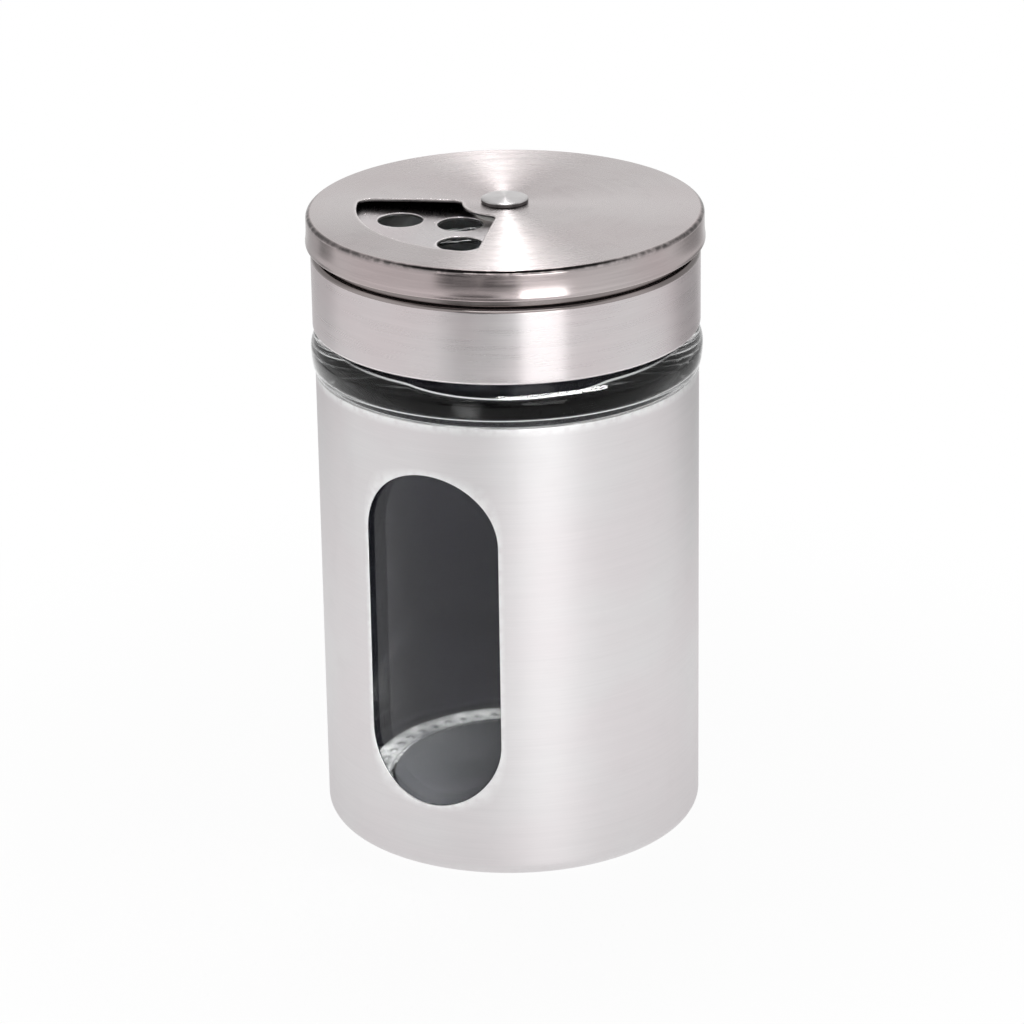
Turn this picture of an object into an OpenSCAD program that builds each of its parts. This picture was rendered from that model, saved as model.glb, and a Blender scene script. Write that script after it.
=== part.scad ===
// Table spice shaker: a threaded glass jar standing in a drawn steel sleeve with a viewing
// window, closed by a threaded steel cap. A dial riveted to the cap turns over its plate and
// uncovers coarse holes, fine holes, a pouring mouth or nothing.
// Millimetres, Z up, z = 0 is the table, the sleeve's window faces -Y.

/* [Sleeve] */
// Outer diameter of the drawn steel sleeve
sleeve_d = 49.2; // [46:0.2:54]
// Thickness of the sleeve's sheet
sleeve_wall = 0.4; // [0.3:0.05:0.6]
// Height of the sleeve's rim above the table
sleeve_h = 61.6; // [58:0.2:76]
// Outside radius of the bend between wall and bottom
sleeve_bend = 1.8; // [1.2:0.1:2.6]
// Width of the flat ring that the sleeve stands on
foot_w = 1.8; // [1:0.1:3]
// Height of the bottom panel above the table
foot_recess = 0.7; // [0.4:0.1:1.2]
// Inward roll of the sleeve's rim
rim_roll = 0.15; // [0.05:0.05:0.2]

/* [Viewing window] */
// Width of the window, measured straight across
window_w = 18.1; // [12:0.1:22]
// Height of the window over its round ends
window_h = 45.2; // [30:0.2:47]
// Height of the window's middle above the table
window_z = 32.05; // [30:0.05:34]

/* [Glass jar] */
// Clearance all round between glass and sleeve
glass_gap = 0.25; // [0.15:0.05:0.4]
// Thickness of the jar's side wall
glass_wall = 2.0; // [1.4:0.1:2.6]
// Thickness of the jar's floor
glass_floor = 3.8; // [3:0.1:5]
// Outside radius of the jar's heel
heel_r = 4.2; // [3:0.1:5]
// Inside radius between floor and wall
inner_heel_r = 3.4; // [2:0.1:4.5]
// How far the middle of the bottom is pushed up
punt = 0.8; // [0.4:0.1:1.4]
// Width of the ring that the glass stands on
contact_w = 3.2; // [2:0.1:4.5]
// Height of the bead between sleeve and cap
bead_h = 5.4; // [4:0.1:7]
// How far the bead stands out past the sleeve
bead_proud = 0.5; // [0.2:0.05:0.8]
// Share of the bead's height that lies below its widest line
bead_belly = 0.53; // [0.45:0.01:0.6]
// Air gap between the sleeve's rim and the bead
bead_gap = 0.1; // [0.1:0.05:0.3]
// Thickness of the neck between bore and thread root
neck_wall = 2.6; // [2:0.1:3.4]
// Height of the corner under the bore, as a share of the bead's height
corner_level = 0.48; // [0.4:0.01:0.6]
// Radius of the corner under the bore
inner_corner_r = 1.0; // [0.6:0.1:1.1]
// Slope of the shoulder's underside below the horizontal, in degrees
shoulder_slope = 25; // [20:1:35]
// Radius of the hollow between the shoulder's underside and the wall
hollow_r = 0.6; // [0.4:0.1:0.8]

/* [Thread] */
// Rise of the thread in one turn
pitch = 4.233; // [3.4:0.001:5]
// Length of the thread in turns
turns = 1.25; // [1:0.05:1.5]
// Depth of the glass thread
thread_depth = 1.1; // [0.8:0.05:1.3]
// Radial clearance between glass and liner threads
thread_clear = 0.25; // [0.15:0.05:0.4]
// Clearance between the flanks that carry the load
flank_clear = 0.15; // [0.1:0.05:0.3]

/* [Cap] */
// Height of the cap from its lower edge to its plate
cap_h = 14.3; // [13.6:0.1:17]
// Height of the wide part of the skirt
skirt_h = 10.1; // [8:0.1:10.4]
// How far the skirt stands out past the sleeve
skirt_proud = 0.2; // [0:0.05:0.4]
// Gap between the bead and the cap's lower edge
skirt_gap = 0.2; // [0.15:0.05:0.5]
// Thickness of the cap's sheet
cap_sheet = 0.4; // [0.3:0.05:0.5]
// Step from the skirt in to the part that the dial covers
cap_step = 0.8; // [0.6:0.05:0.9]
// Outside radius of the plate's edge
plate_edge_r = 0.9; // [0.6:0.05:1.1]
// Width of the hem folded in at the cap's lower edge
hem_w = 0.9; // [0.5:0.1:1.1]

/* [Liner and seal] */
// Clearance between the liner and the steel around it
liner_fit = 0.05; // [0.03:0.01:0.1]
// Wall of the liner behind its thread
liner_wall = 1.4; // [1.3:0.05:1.8]
// Thickness of the liner's top flange
liner_flange = 0.9; // [0.6:0.1:1.4]
// Thickness of the sealing ring
seal_t = 1.0; // [0.6:0.1:1.5]
// How far the sealing ring reaches past the neck, inside and outside
seal_lap = 0.4; // [0.1:0.05:0.6]
// Thickness of the pad between the sleeve's bottom and the glass
pad_t = 0.5; // [0.3:0.1:1]

/* [Plate openings] */
// Diameter of the coarse holes
coarse_d = 5.7; // [4.5:0.1:6]
// Radius of the circle of the two outer coarse holes
coarse_ring_r = 13.4; // [13:0.1:14.5]
// Angle from the set's middle to each outer coarse hole
coarse_half_angle = 27.7; // [24:0.1:30]
// Radius at which the inner coarse hole sits
coarse_inner_r = 7.1; // [6.8:0.1:7.8]
// Diameter of the fine holes
fine_d = 2.2; // [1.5:0.1:2.4]
// Radius of the outer row of fine holes
fine_ring_r = 15.2; // [14.5:0.1:16]
// Spacing of the rows of fine holes
fine_row = 3.9; // [3.2:0.1:4.2]
// Spacing of the fine holes along a row
fine_pitch = 3.9; // [3:0.1:4.1]
// Inner radius of the pouring mouth
pour_in_r = 6.6; // [6.5:0.1:9]
// Outer radius of the pouring mouth
pour_out_r = 17.2; // [15:0.1:17.8]
// Angle that the pouring mouth spans
pour_span = 68; // [50:1:74]
// Direction of the middle of the coarse holes, counted from +X
coarse_dir = 242.6; // [0:0.1:360]

/* [Dial] */
// How far the dial's lip stands out past the skirt
dial_proud = 0.6; // [0.55:0.05:0.9]
// Thickness of the dial's sheet
dial_sheet = 0.4; // [0.3:0.05:0.5]
// Gap between the skirt's shoulder and the dial's lip
dial_groove = 1.0; // [0.5:0.1:1.6]
// Gap between the plate and the dial at the plate's edge
dial_gap = 0.3; // [0.25:0.05:0.6]
// Height of the dial's crown at its middle
dial_crown = 0.75; // [0.4:0.05:1.2]
// Outward flare of the dial's lip
lip_flare = 0.12; // [0.05:0.01:0.15]
// Outside radius of the dial's edge
dial_edge_r = 0.6; // [0.55:0.05:1]
// Inner radius of the dial's window
dial_window_in_r = 5.4; // [5:0.1:6]
// Outer radius of the dial's window
dial_window_out_r = 18.8; // [18.2:0.1:20]
// Angle that the dial's window spans
dial_window_span = 90; // [80:1:92]
// Radius of the corners of the dial's window and of the pouring mouth
corner_r = 1.4; // [0.6:0.1:1.8]
// Direction of the middle of the dial's window, counted from +X
dial_dir = 239.2; // [0:0.1:360]

/* [Rivet] */
// Diameter of the rivet's head
head_d = 6.0; // [5:0.1:7]
// Height of the rivet's head
head_h = 0.75; // [0.5:0.05:1.2]
// Height of the dome above the head's straight side
head_dome = 0.3; // [0.15:0.05:0.4]
// Diameter of the shoulder that the dial turns on
shoulder_d = 3.2; // [2.8:0.1:3.6]
// Diameter of the shank through the plate
shank_d = 2.4; // [2:0.1:2.6]
// Diameter of the flattened end under the plate
button_d = 4.6; // [3.8:0.1:5.4]
// Height of the flattened end under the plate
button_h = 0.7; // [0.4:0.1:1]
// Running clearance of the dial and the washer on the shoulder
pivot_clear = 0.05; // [0.03:0.01:0.1]
// Diameter of the washer between plate and dial
washer_d = 7.6; // [6.6:0.1:8.6]

/* [Hidden] */
$fn = 96;

// Radii, from the sleeve's outside towards the jar's bore
sleeve_r = sleeve_d / 2;
sleeve_bore = sleeve_r - sleeve_wall;
glass_r = sleeve_bore - glass_gap;
glass_in_r = glass_r - glass_wall;
bead_r = sleeve_r + bead_proud;
bead_foot_r = sleeve_r - bead_gap;
skirt_r = sleeve_r + skirt_proud;
step_r = skirt_r - cap_step;
liner_r = skirt_r - cap_sheet - liner_fit;
liner_top_r = step_r - cap_sheet - liner_fit;
liner_root_r = liner_r - liner_wall;
glass_crest_r = liner_root_r - thread_clear;
neck_r = glass_crest_r - thread_depth;
liner_crest_r = neck_r + thread_clear;
bore_r = neck_r - neck_wall;
dial_lip_r = skirt_r + dial_proud;
dial_r = dial_lip_r - lip_flare;

// Heights, from the table up
floor_z = foot_recess + sleeve_wall;
glass_z = floor_z + pad_t;
glass_floor_z = glass_z + glass_floor;
bead_z = sleeve_h + bead_gap;
bead_top_z = bead_z + bead_h;
bead_mid_z = bead_z + bead_h * bead_belly;
inner_corner_z = bead_z + bead_h * corner_level;
skirt_z = bead_top_z + skirt_gap;
shoulder_z = skirt_z + skirt_h;
plate_z = skirt_z + cap_h;
plate_under_z = plate_z - cap_sheet;
flange_z = plate_under_z - liner_flange;
lip_z = flange_z - seal_t;
liner_z = skirt_z + cap_sheet + liner_fit;
dial_z = plate_z + dial_gap + dial_sheet;
dial_lip_z = shoulder_z + dial_groove;
crown_z = dial_z + dial_crown;
head_z = crown_z + pivot_clear;

// Sheet bends and roundings
sleeve_panel_r = sleeve_r - sleeve_bend - foot_w;
contact_r = glass_r - heel_r;
neck_fillet = 0.8;
neck_land = 0.3;
lip_round = 0.7;
floor_rise = 0.2;
bead_crown = bead_r - neck_r - neck_fillet - neck_land;
shoulder_bends = inner_corner_r + hollow_r;
shoulder_run = glass_in_r - bore_r - shoulder_bends * (1 - sin(shoulder_slope));
shoulder_drop = shoulder_bends * cos(shoulder_slope) + max(0, shoulder_run) * tan(shoulder_slope);
liner_chamfer = 0.3;
head_edge_r = 0.3;
flare_z = dial_lip_z + 3 * dial_sheet;

// How far a cutting tool reaches past the faces that it cuts
cut_over = 1;

// Thread: both ridges are the same trapezoid, turned in or out, and its half-widths at the wall
// and at the crest follow the pitch. Each end fades out over an angle from a low first step.
ridge_root = pitch * 0.25;
ridge_crest = pitch * 0.12;
ridge_steps = 60;
ridge_fade = 24;
ridge_start = 0.05;
flank_sum = 2 * ridge_root
    - (ridge_root - ridge_crest) * (liner_root_r - neck_r) / thread_depth;
liner_drop = flank_sum + flank_clear;
thread_z = (bead_top_z + lip_z - turns * pitch) / 2;
ridge_embed = 0.3;

// Stations of the plate, a quarter turn apart: coarse, fine, pouring mouth, closed
fine_dir = coarse_dir + 90;
pour_dir = coarse_dir + 180;
fine_rows = 3;
fine_count = 5;

// Points along an arc about c from angle a0 to a1
function arc(c, r, a0, a1, n = 8) =
    [for (i = [0:n]) c + r * [cos(a0 + (a1 - a0) * i / n), sin(a0 + (a1 - a0) * i / n)]];

// Points along an ellipse with half-axes rx and ry; first = 1 leaves out the point at a0
function quarter(c, rx, ry, a0, a1, n = 8, first = 0) =
    [for (i = [first:n]) c + [rx * cos(a0 + (a1 - a0) * i / n), ry * sin(a0 + (a1 - a0) * i / n)]];

// Outline of a ring sector about +X with rounded corners
function sector_points(r_in, r_out, span, c) =
    let (t_out = asin(c / (r_out - c)), t_in = asin(c / (r_in + c)), h = span / 2,
         out_c = (r_out - c) * [cos(h - t_out), sin(h - t_out)],
         in_c = (r_in + c) * [cos(h - t_in), sin(h - t_in)])
    concat(
        arc([0, 0], r_out, t_out - h, h - t_out, 32),
        arc(out_c, c, h - t_out, h + 90, 8),
        arc(in_c, c, h + 90, h + 180 - t_in, 6),
        arc([0, 0], r_in, h - t_in, t_in - h, 20),
        arc([in_c[0], -in_c[1]], c, t_in - h - 180, -h - 90, 6),
        arc([out_c[0], -out_c[1]], c, -h - 90, t_out - h, 8)
    );

// Height of the dial's outside surface at radius r
function crown(r) = dial_z + dial_crown * (1 - pow(r / (dial_r - dial_edge_r), 2));

// A through cut in the shape of a ring sector
module sector_cut(r_in, r_out, span, c, z0, z1) {
    translate([0, 0, z0])
        linear_extrude(z1 - z0)
            polygon(sector_points(r_in, r_out, span, c));
}

// One helical ridge from a wall at root_r to crest_r, fading out at both ends
module thread_ridge(root_r, crest_r, z0) {
    sense = sign(crest_r - root_r);
    steps = round(turns * ridge_steps);
    sweep = turns * 360;
    wall_r = root_r - sense * ridge_embed;
    points = [for (i = [0:steps])
        let (a = sweep * i / steps,
             fade = min(1, ridge_start + a / ridge_fade, ridge_start + (sweep - a) / ridge_fade),
             r = root_r + (crest_r - root_r) * fade,
             z = z0 + pitch * a / 360,
             section = [[wall_r, -ridge_root], [r, -ridge_crest], [r, ridge_crest], [wall_r, ridge_root]])
        for (k = [0:3])
            let (p = section[sense > 0 ? 3 - k : k])
            [p[0] * cos(a), p[0] * sin(a), z + p[1]]];
    sides = [for (i = [0:steps - 1])
        for (k = [0:3])
            let (j = (k + 1) % 4, a = 4 * i)
            for (f = [[a + k, a + 4 + k, a + 4 + j], [a + k, a + 4 + j, a + j]])
                f];
    ends = [[0, 1, 2], [0, 2, 3],
            [4 * steps + 2, 4 * steps + 1, 4 * steps], [4 * steps + 3, 4 * steps + 2, 4 * steps]];
    polyhedron(points, concat(sides, ends), convexity = 6);
}

// Drawn cup with a stood-up bottom panel, a rolled rim and the punched window
module steel_sleeve() {
    bend_c = [sleeve_r - sleeve_bend, sleeve_bend];
    rim_c = [sleeve_r - rim_roll, sleeve_h - rim_roll];
    profile = concat(
        [[0, foot_recess], [sleeve_panel_r - foot_recess, foot_recess], [sleeve_panel_r, 0]],
        arc(bend_c, sleeve_bend, -90, 0),
        arc(rim_c, rim_roll, 0, 90, 4),
        [[sleeve_bore, sleeve_h]],
        arc(bend_c, sleeve_bend - sleeve_wall, 0, -90),
        [[sleeve_panel_r, sleeve_wall], [sleeve_panel_r - foot_recess, floor_z], [0, floor_z]]
    );
    color([0.80, 0.79, 0.79])
        difference() {
            rotate_extrude()
                polygon(profile);
            window_cut();
        }
}

// Slot with round ends, driven straight through the sleeve's front wall
module window_cut() {
    end_z = (window_h - window_w) / 2;
    translate([0, 0, window_z])
        rotate([90, 0, 0])
            union() {
                translate([-window_w / 2, -end_z, 0])
                    cube([window_w, 2 * end_z, 2 * sleeve_r]);
                for (side = [-1, 1])
                    translate([0, side * end_z, 0])
                        cylinder(h = 2 * sleeve_r, d = window_w);
            }
}

// Pressed glass jar with heel, punt, bead, neck and one thread
module glass_jar() {
    heel_c = [contact_r, glass_z + heel_r];
    floor_c = [glass_in_r - inner_heel_r, glass_floor_z + inner_heel_r];
    neck_c = [neck_r + neck_fillet, bead_top_z + neck_fillet];
    lip_c = [neck_r - lip_round, lip_z - lip_round];
    mouth_c = [bore_r + lip_round, lip_z - lip_round];
    profile = concat(
        [[0, glass_z + punt], [contact_r - contact_w - punt, glass_z + punt]],
        [[contact_r - contact_w, glass_z]],
        arc(heel_c, heel_r, -90, 0),
        [[glass_r, bead_z]],
        quarter([bead_foot_r, bead_mid_z], bead_r - bead_foot_r, bead_mid_z - bead_z, -90, 0, 7),
        quarter([bead_r - bead_crown, bead_mid_z], bead_crown, bead_top_z - bead_mid_z, 0, 90, 10, 1),
        arc(neck_c, neck_fillet, 270, 180, 5),
        arc(lip_c, lip_round, 0, 90, 5),
        arc(mouth_c, lip_round, 90, 180, 5),
        arc([bore_r + inner_corner_r, inner_corner_z], inner_corner_r, 180, 270 - shoulder_slope, 6),
        arc([glass_in_r - hollow_r, inner_corner_z - shoulder_drop], hollow_r, 90 - shoulder_slope, 0, 4),
        arc(floor_c, inner_heel_r, 0, -90),
        [[0, glass_floor_z + floor_rise]]
    );
    color([0.72, 0.80, 0.80, 0.45])
        union() {
            rotate_extrude()
                polygon(profile);
            thread_ridge(neck_r, glass_crest_r, thread_z);
        }
}

// Adhesive foam disc that holds the jar down in the sleeve
module base_pad() {
    color([0.30, 0.30, 0.32])
        translate([0, 0, floor_z])
            cylinder(h = pad_t, r = min(contact_r, sleeve_panel_r - foot_recess));
}

// Flat ring squeezed between the glass lip and the liner's flange
module seal_ring() {
    color([0.14, 0.14, 0.14])
        translate([0, 0, lip_z])
            difference() {
                cylinder(h = seal_t, r = neck_r + seal_lap);
                translate([0, 0, -seal_t])
                    cylinder(h = 3 * seal_t, r = bore_r - seal_lap);
            }
}

// Drawn steel cap: hemmed skirt, stepped shoulder and the plate with its openings
module cap_shell() {
    hem_c = [skirt_r - cap_sheet, skirt_z + cap_sheet];
    shoulder_c = [step_r, shoulder_z - cap_step];
    edge_c = [step_r - plate_edge_r, plate_z - plate_edge_r];
    profile = concat(
        [[skirt_r - hem_w, skirt_z]],
        arc(hem_c, cap_sheet, -90, 0, 5),
        arc(shoulder_c, cap_step, 0, 90),
        arc(edge_c, plate_edge_r, 0, 90),
        [[0, plate_z], [0, plate_under_z]],
        arc(edge_c, plate_edge_r - cap_sheet, 90, 0, 6),
        [[step_r - cap_sheet, shoulder_z - cap_sheet]],
        arc(shoulder_c, cap_step - cap_sheet, 90, 0, 6),
        [[skirt_r - cap_sheet, skirt_z + cap_sheet], [skirt_r - hem_w, skirt_z + cap_sheet]]
    );
    color([0.78, 0.76, 0.76])
        difference() {
            rotate_extrude()
                polygon(profile);
            plate_cuts();
        }
}

// The rivet's hole and the three open stations of the plate
module plate_cuts() {
    z0 = plate_under_z - cut_over;
    z1 = plate_z + cut_over;
    translate([0, 0, z0])
        cylinder(h = z1 - z0, d = shank_d);
    rotate([0, 0, coarse_dir]) {
        translate([coarse_inner_r, 0, z0])
            cylinder(h = z1 - z0, d = coarse_d, $fn = 48);
        for (side = [-1, 1])
            rotate([0, 0, side * coarse_half_angle])
                translate([coarse_ring_r, 0, z0])
                    cylinder(h = z1 - z0, d = coarse_d, $fn = 48);
    }
    rotate([0, 0, fine_dir])
        for (row = [0:fine_rows - 1])
            let (last = fine_count - row - 1, row_r = fine_ring_r - row * fine_row,
                 step = 2 * asin(fine_pitch / 2 / row_r))
                for (k = [0:last])
                    rotate([0, 0, step * (k - last / 2)])
                        translate([row_r, 0, z0])
                            cylinder(h = z1 - z0, d = fine_d, $fn = 24);
    rotate([0, 0, pour_dir])
        sector_cut(pour_in_r, pour_out_r, pour_span, corner_r, z0, z1);
}

// Moulded insert that carries the cap's thread and presses on the seal
module cap_liner() {
    profile = [
        [liner_root_r, liner_z + liner_chamfer],
        [liner_root_r + liner_chamfer, liner_z],
        [liner_r, liner_z],
        [liner_r, shoulder_z - cap_step],
        [step_r - liner_fit, shoulder_z - cap_sheet - liner_fit],
        [liner_top_r, shoulder_z - cap_sheet - liner_fit],
        [liner_top_r, plate_z - plate_edge_r],
        [step_r - plate_edge_r, plate_under_z],
        [bore_r - seal_lap, plate_under_z],
        [bore_r - seal_lap, flange_z],
        [liner_root_r, flange_z]
    ];
    color([0.12, 0.12, 0.12])
        union() {
            rotate_extrude()
                polygon(profile);
            thread_ridge(liner_root_r, liner_crest_r, thread_z - liner_drop);
        }
}

// Washer that spaces the dial off the plate and gives it its drag
module friction_washer() {
    washer_top_z = crown(washer_d / 2) - dial_sheet - pivot_clear;
    color([0.88, 0.88, 0.86])
        translate([0, 0, plate_z])
            difference() {
                cylinder(h = washer_top_z - plate_z, d = washer_d);
                translate([0, 0, -cut_over])
                    cylinder(h = washer_top_z - plate_z + 2 * cut_over, d = shoulder_d + 2 * pivot_clear);
            }
}

// Shouldered rivet: domed head, shoulder for the dial, shank and flattened end
module pivot_rivet() {
    head_r = head_d / 2;
    head_side = head_h - head_dome;
    head_round = min(head_edge_r, head_side / 2);
    profile = concat(
        [[0, plate_under_z - button_h]],
        [[button_d / 2 - button_h / 2, plate_under_z - button_h]],
        quarter([button_d / 2 - button_h / 2, plate_under_z], button_h / 2, button_h, -90, 0, 5),
        [[shank_d / 2, plate_under_z], [shank_d / 2, plate_z], [shoulder_d / 2, plate_z]],
        [[shoulder_d / 2, head_z], [head_r - head_round, head_z]],
        arc([head_r - head_round, head_z + head_round], head_round, -90, 0, 4),
        quarter([0, head_z + head_side], head_r, head_dome, 0, 90, 10)
    );
    color([0.86, 0.86, 0.87])
        rotate_extrude()
            polygon(profile);
}

// Crowned cover with a rolled-down edge and one window
module dial() {
    flat_r = dial_r - dial_edge_r;
    edge_c = [flat_r, dial_z - dial_edge_r];
    rings = 12;
    profile = concat(
        [for (i = [0:rings - 1]) [flat_r * i / rings, crown(flat_r * i / rings)]],
        arc(edge_c, dial_edge_r, 90, 0),
        [[dial_r, flare_z], [dial_lip_r, dial_lip_z + dial_sheet]],
        [[dial_lip_r, dial_lip_z], [dial_lip_r - dial_sheet, dial_lip_z]],
        [[dial_r - dial_sheet, flare_z]],
        arc(edge_c, dial_edge_r - dial_sheet, 0, 90, 5),
        [for (i = [rings - 1:-1:0]) [flat_r * i / rings, crown(flat_r * i / rings) - dial_sheet]]
    );
    color([0.76, 0.74, 0.74])
        difference() {
            rotate_extrude()
                polygon(profile);
            translate([0, 0, plate_z])
                cylinder(h = crown_z - plate_z + cut_over, d = shoulder_d + 2 * pivot_clear);
            rotate([0, 0, dial_dir])
                sector_cut(dial_window_in_r, dial_window_out_r, dial_window_span, corner_r,
                           plate_z, crown_z + cut_over);
        }
}

steel_sleeve();
glass_jar();
base_pad();
seal_ring();
cap_shell();
cap_liner();
friction_washer();
pivot_rivet();
dial();
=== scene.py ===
"""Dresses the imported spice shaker: steel sleeve, pressed glass jar, screw cap, turning dial and rivet.

Lengths are millimetres until a mesh is made, where MM turns them into metres. A profile is an array of
(radius, height) points that runs with the solid on its left, and a shell is one or more grids of points,
worked out as whole arrays and welded where they meet.
"""

import logging
from collections.abc import Callable, Sequence
from dataclasses import dataclass, field
from enum import Enum

import bpy
import numpy as np
from mathutils import Matrix, Vector


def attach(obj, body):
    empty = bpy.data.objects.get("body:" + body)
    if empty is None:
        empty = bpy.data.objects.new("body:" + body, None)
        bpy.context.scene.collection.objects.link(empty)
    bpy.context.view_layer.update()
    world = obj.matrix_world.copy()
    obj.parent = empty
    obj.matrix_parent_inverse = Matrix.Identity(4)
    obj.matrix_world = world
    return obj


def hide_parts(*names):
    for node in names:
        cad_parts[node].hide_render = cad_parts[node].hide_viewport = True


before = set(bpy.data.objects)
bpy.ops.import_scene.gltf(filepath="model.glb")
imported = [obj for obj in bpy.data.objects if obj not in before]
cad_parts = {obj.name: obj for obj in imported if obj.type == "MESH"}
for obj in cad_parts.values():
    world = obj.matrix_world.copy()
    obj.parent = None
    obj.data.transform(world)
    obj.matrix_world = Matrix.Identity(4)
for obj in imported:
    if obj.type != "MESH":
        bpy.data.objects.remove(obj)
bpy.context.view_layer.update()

Array = np.ndarray
Outline = Callable[[Array], tuple[Array, Array]]
Colour = tuple[float, float, float]
Feed = bpy.types.NodeSocket | float | Sequence[float]
MM = 0.001
WELD = 1e-4
SHARP_ANGLE = np.radians(40)
QUARTER_TURN = 0.25
SENSOR = 36.0

log = logging.getLogger("spice_shaker")


class Side(Enum):
    """Which finish of a piece a stretch of its surface takes."""

    SHOWN = 0
    HIDDEN = 1
    EDGE = 2


class Slot(Enum):
    """The record's material slots of the new pieces; the script reads only the glass's, to light the jar."""

    SLEEVE = "sleeve_steel"
    CAP = "cap_steel"
    DIAL = "dial_steel"
    RIVET = "rivet_steel"
    GLASS = "jar_glass"


def arc(centre: Sequence[float], radius: float | tuple[float, float], start: float, end: float,
        steps: int = 8) -> Array:
    """Points along an arc: centre plus (rx cos a, ry sin a), with the angle a in even steps.

    Args:
        centre: Middle of the arc.
        radius: Its radius, or the two half-axes of an ellipse.
        start: First angle in degrees.
        end: Last angle in degrees.
        steps: Number of steps between them.

    Returns:
        An array of steps + 1 points.
    """
    radii = np.broadcast_to(np.asarray(radius, float), 2)
    angle = np.radians(np.linspace(start, end, steps + 1))
    return np.asarray(centre, float) + radii * np.column_stack([np.cos(angle), np.sin(angle)])


def line(start: Sequence[float], end: Sequence[float], longest: float, near: float = 0.12) -> Array:
    """Points along a straight stretch, evenly spaced, with one more close to each end to hold its shading.

    Args:
        start: First point.
        end: Last point.
        longest: Longest step allowed.
        near: Distance of the extra points from the ends.

    Returns:
        The points, ends included.
    """
    start, end = np.asarray(start, float), np.asarray(end, float)
    length = float(np.linalg.norm(end - start))
    inset = min(near / length, 0.2)
    middle = np.linspace(inset, 1 - inset, max(2, int(np.ceil(length / longest)) + 1))
    share = np.concatenate([[0.0], middle, [1.0]])
    return start + (end - start) * share[:, None]


def joined(*stretches: Array) -> Array:
    """Chains stretches into one profile and drops each point that repeats the one before it.

    Args:
        stretches: The stretches in order.

    Returns:
        The profile.
    """
    chain = np.concatenate([np.asarray(s, float).reshape(-1, 2) for s in stretches])
    step = np.linalg.norm(np.diff(chain, axis=0), axis=1)
    return chain[np.concatenate([[True], step > WELD])]


def smooth_step(low: float, high: float, value: Array) -> Array:
    """Cubic step t*t*(3 - 2t), where t runs from 0 at low to 1 at high."""
    t = np.clip((value - low) / (high - low), 0.0, 1.0)
    return t * t * (3 - 2 * t)


def drop_height(points: Array) -> Array:
    """Drops the height: (x, y, z) becomes (x, y)."""
    return points[:, :2]


@dataclass
class Shell:
    """Grids of points that are welded into one closed mesh.

    Attributes:
        name: Name of the piece.
        points: One array of points for each grid.
        quads: Corner numbers of the cells, for each grid.
        looks: Finish number of each cell.
        wear_and_painted_light: From 0 to 1, how far each point lies on a marked edge: rubbing, painted
            highlight and painted shade.
    """

    name: str
    points: list[Array] = field(default_factory=list)
    quads: list[Array] = field(default_factory=list)
    looks: list[Array] = field(default_factory=list)
    wear_and_painted_light: list[Array] = field(default_factory=list)

    def add(self, grid: Array, keep: Array | None = None, looks: Array | int = 0,
            wear_and_painted_light: Array | float = 0.0) -> None:
        """Adds the cells of a grid whose columns close into a ring.

        Args:
            grid: Points of shape (rows, columns, 3).
            keep: True for each cell of shape (rows - 1, columns) that is part of the surface.
            looks: Finish number of each row of cells.
            wear_and_painted_light: Mask of each row of points, or of each point, for marked edges.
        """
        rows, columns = grid.shape[:2]
        first = sum(len(p) for p in self.points)
        index = first + np.arange(rows * columns).reshape(rows, columns)
        index = np.hstack([index, index[:, :1]])
        cells = np.stack([index[:-1, :-1], index[:-1, 1:], index[1:, 1:], index[1:, :-1]], axis=-1)
        kept = np.ones((rows - 1, columns), bool) if keep is None else keep
        look = np.broadcast_to(np.broadcast_to(looks, rows - 1)[:, None], kept.shape)
        self.points.append(grid.reshape(-1, 3))
        self.quads.append(cells[kept])
        self.looks.append(look[kept])
        wear_and_light = np.asarray(wear_and_painted_light, float)
        wear_and_light = wear_and_light if wear_and_light.ndim == 2 else np.broadcast_to(wear_and_light, rows)[:, None]
        self.wear_and_painted_light.append(np.broadcast_to(wear_and_light, (rows, columns)).reshape(-1))

    def build(self, finishes: Sequence[bpy.types.Material]) -> bpy.types.Object:
        """Welds the grids, splits the cells into triangles and makes the object.

        The volume is a sixth of the sum of the corners' triple products. A shell that it shows to be
        inside out, or that has an edge without two triangles, stops the script.

        Args:
            finishes: Materials in the order of the finish numbers.

        Returns:
            The object, at the origin, with its place in its mesh.
        """
        points = np.concatenate(self.points)
        keys = np.round(points / WELD).astype(np.int64)
        _, first, number = np.unique(keys, axis=0, return_index=True, return_inverse=True)
        quads = number.reshape(-1)[np.concatenate(self.quads)]
        triangles = np.concatenate([quads[:, [0, 1, 2]], quads[:, [0, 2, 3]]])
        look = np.tile(np.concatenate(self.looks), 2)
        sound = (triangles != np.roll(triangles, 1, axis=1)).all(axis=1)
        triangles, look = triangles[sound], look[sound]
        points = points[first]
        corners = points[triangles]
        across = np.cross(corners[:, 1], corners[:, 2])
        volume = float(np.einsum("ij,ij->i", corners[:, 0], across).sum()) / 6
        edges = np.concatenate([triangles[:, [0, 1]], triangles[:, [1, 2]], triangles[:, [2, 0]]])
        _, uses = np.unique(np.sort(edges, axis=1), axis=0, return_counts=True)
        if volume <= 0 or (uses != 2).any():
            raise ValueError(f"{self.name} isn't a closed shell: {volume:.1f} mm3, "
                             f"{(uses != 2).sum()} open edges")

        mesh = bpy.data.meshes.new(self.name)
        mesh.from_pydata((points * MM).tolist(), [], triangles.tolist())
        mesh.polygons.foreach_set("material_index", look.astype(np.int32))
        mesh.shade_smooth()
        mesh.set_sharp_from_angle(angle=SHARP_ANGLE)
        wear_and_light = mesh.attributes.new("edge_marks_and_painted_light", "FLOAT", "POINT")
        wear_and_light.data.foreach_set("value", np.concatenate(self.wear_and_painted_light)[first].astype(np.float32))
        for finish in finishes:
            mesh.materials.append(finish)
        piece = bpy.data.objects.new(self.name, mesh)
        bpy.context.scene.collection.objects.link(piece)
        log.info("%s: %d triangles, %.1f mm3", self.name, len(triangles), volume)
        return piece


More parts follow.
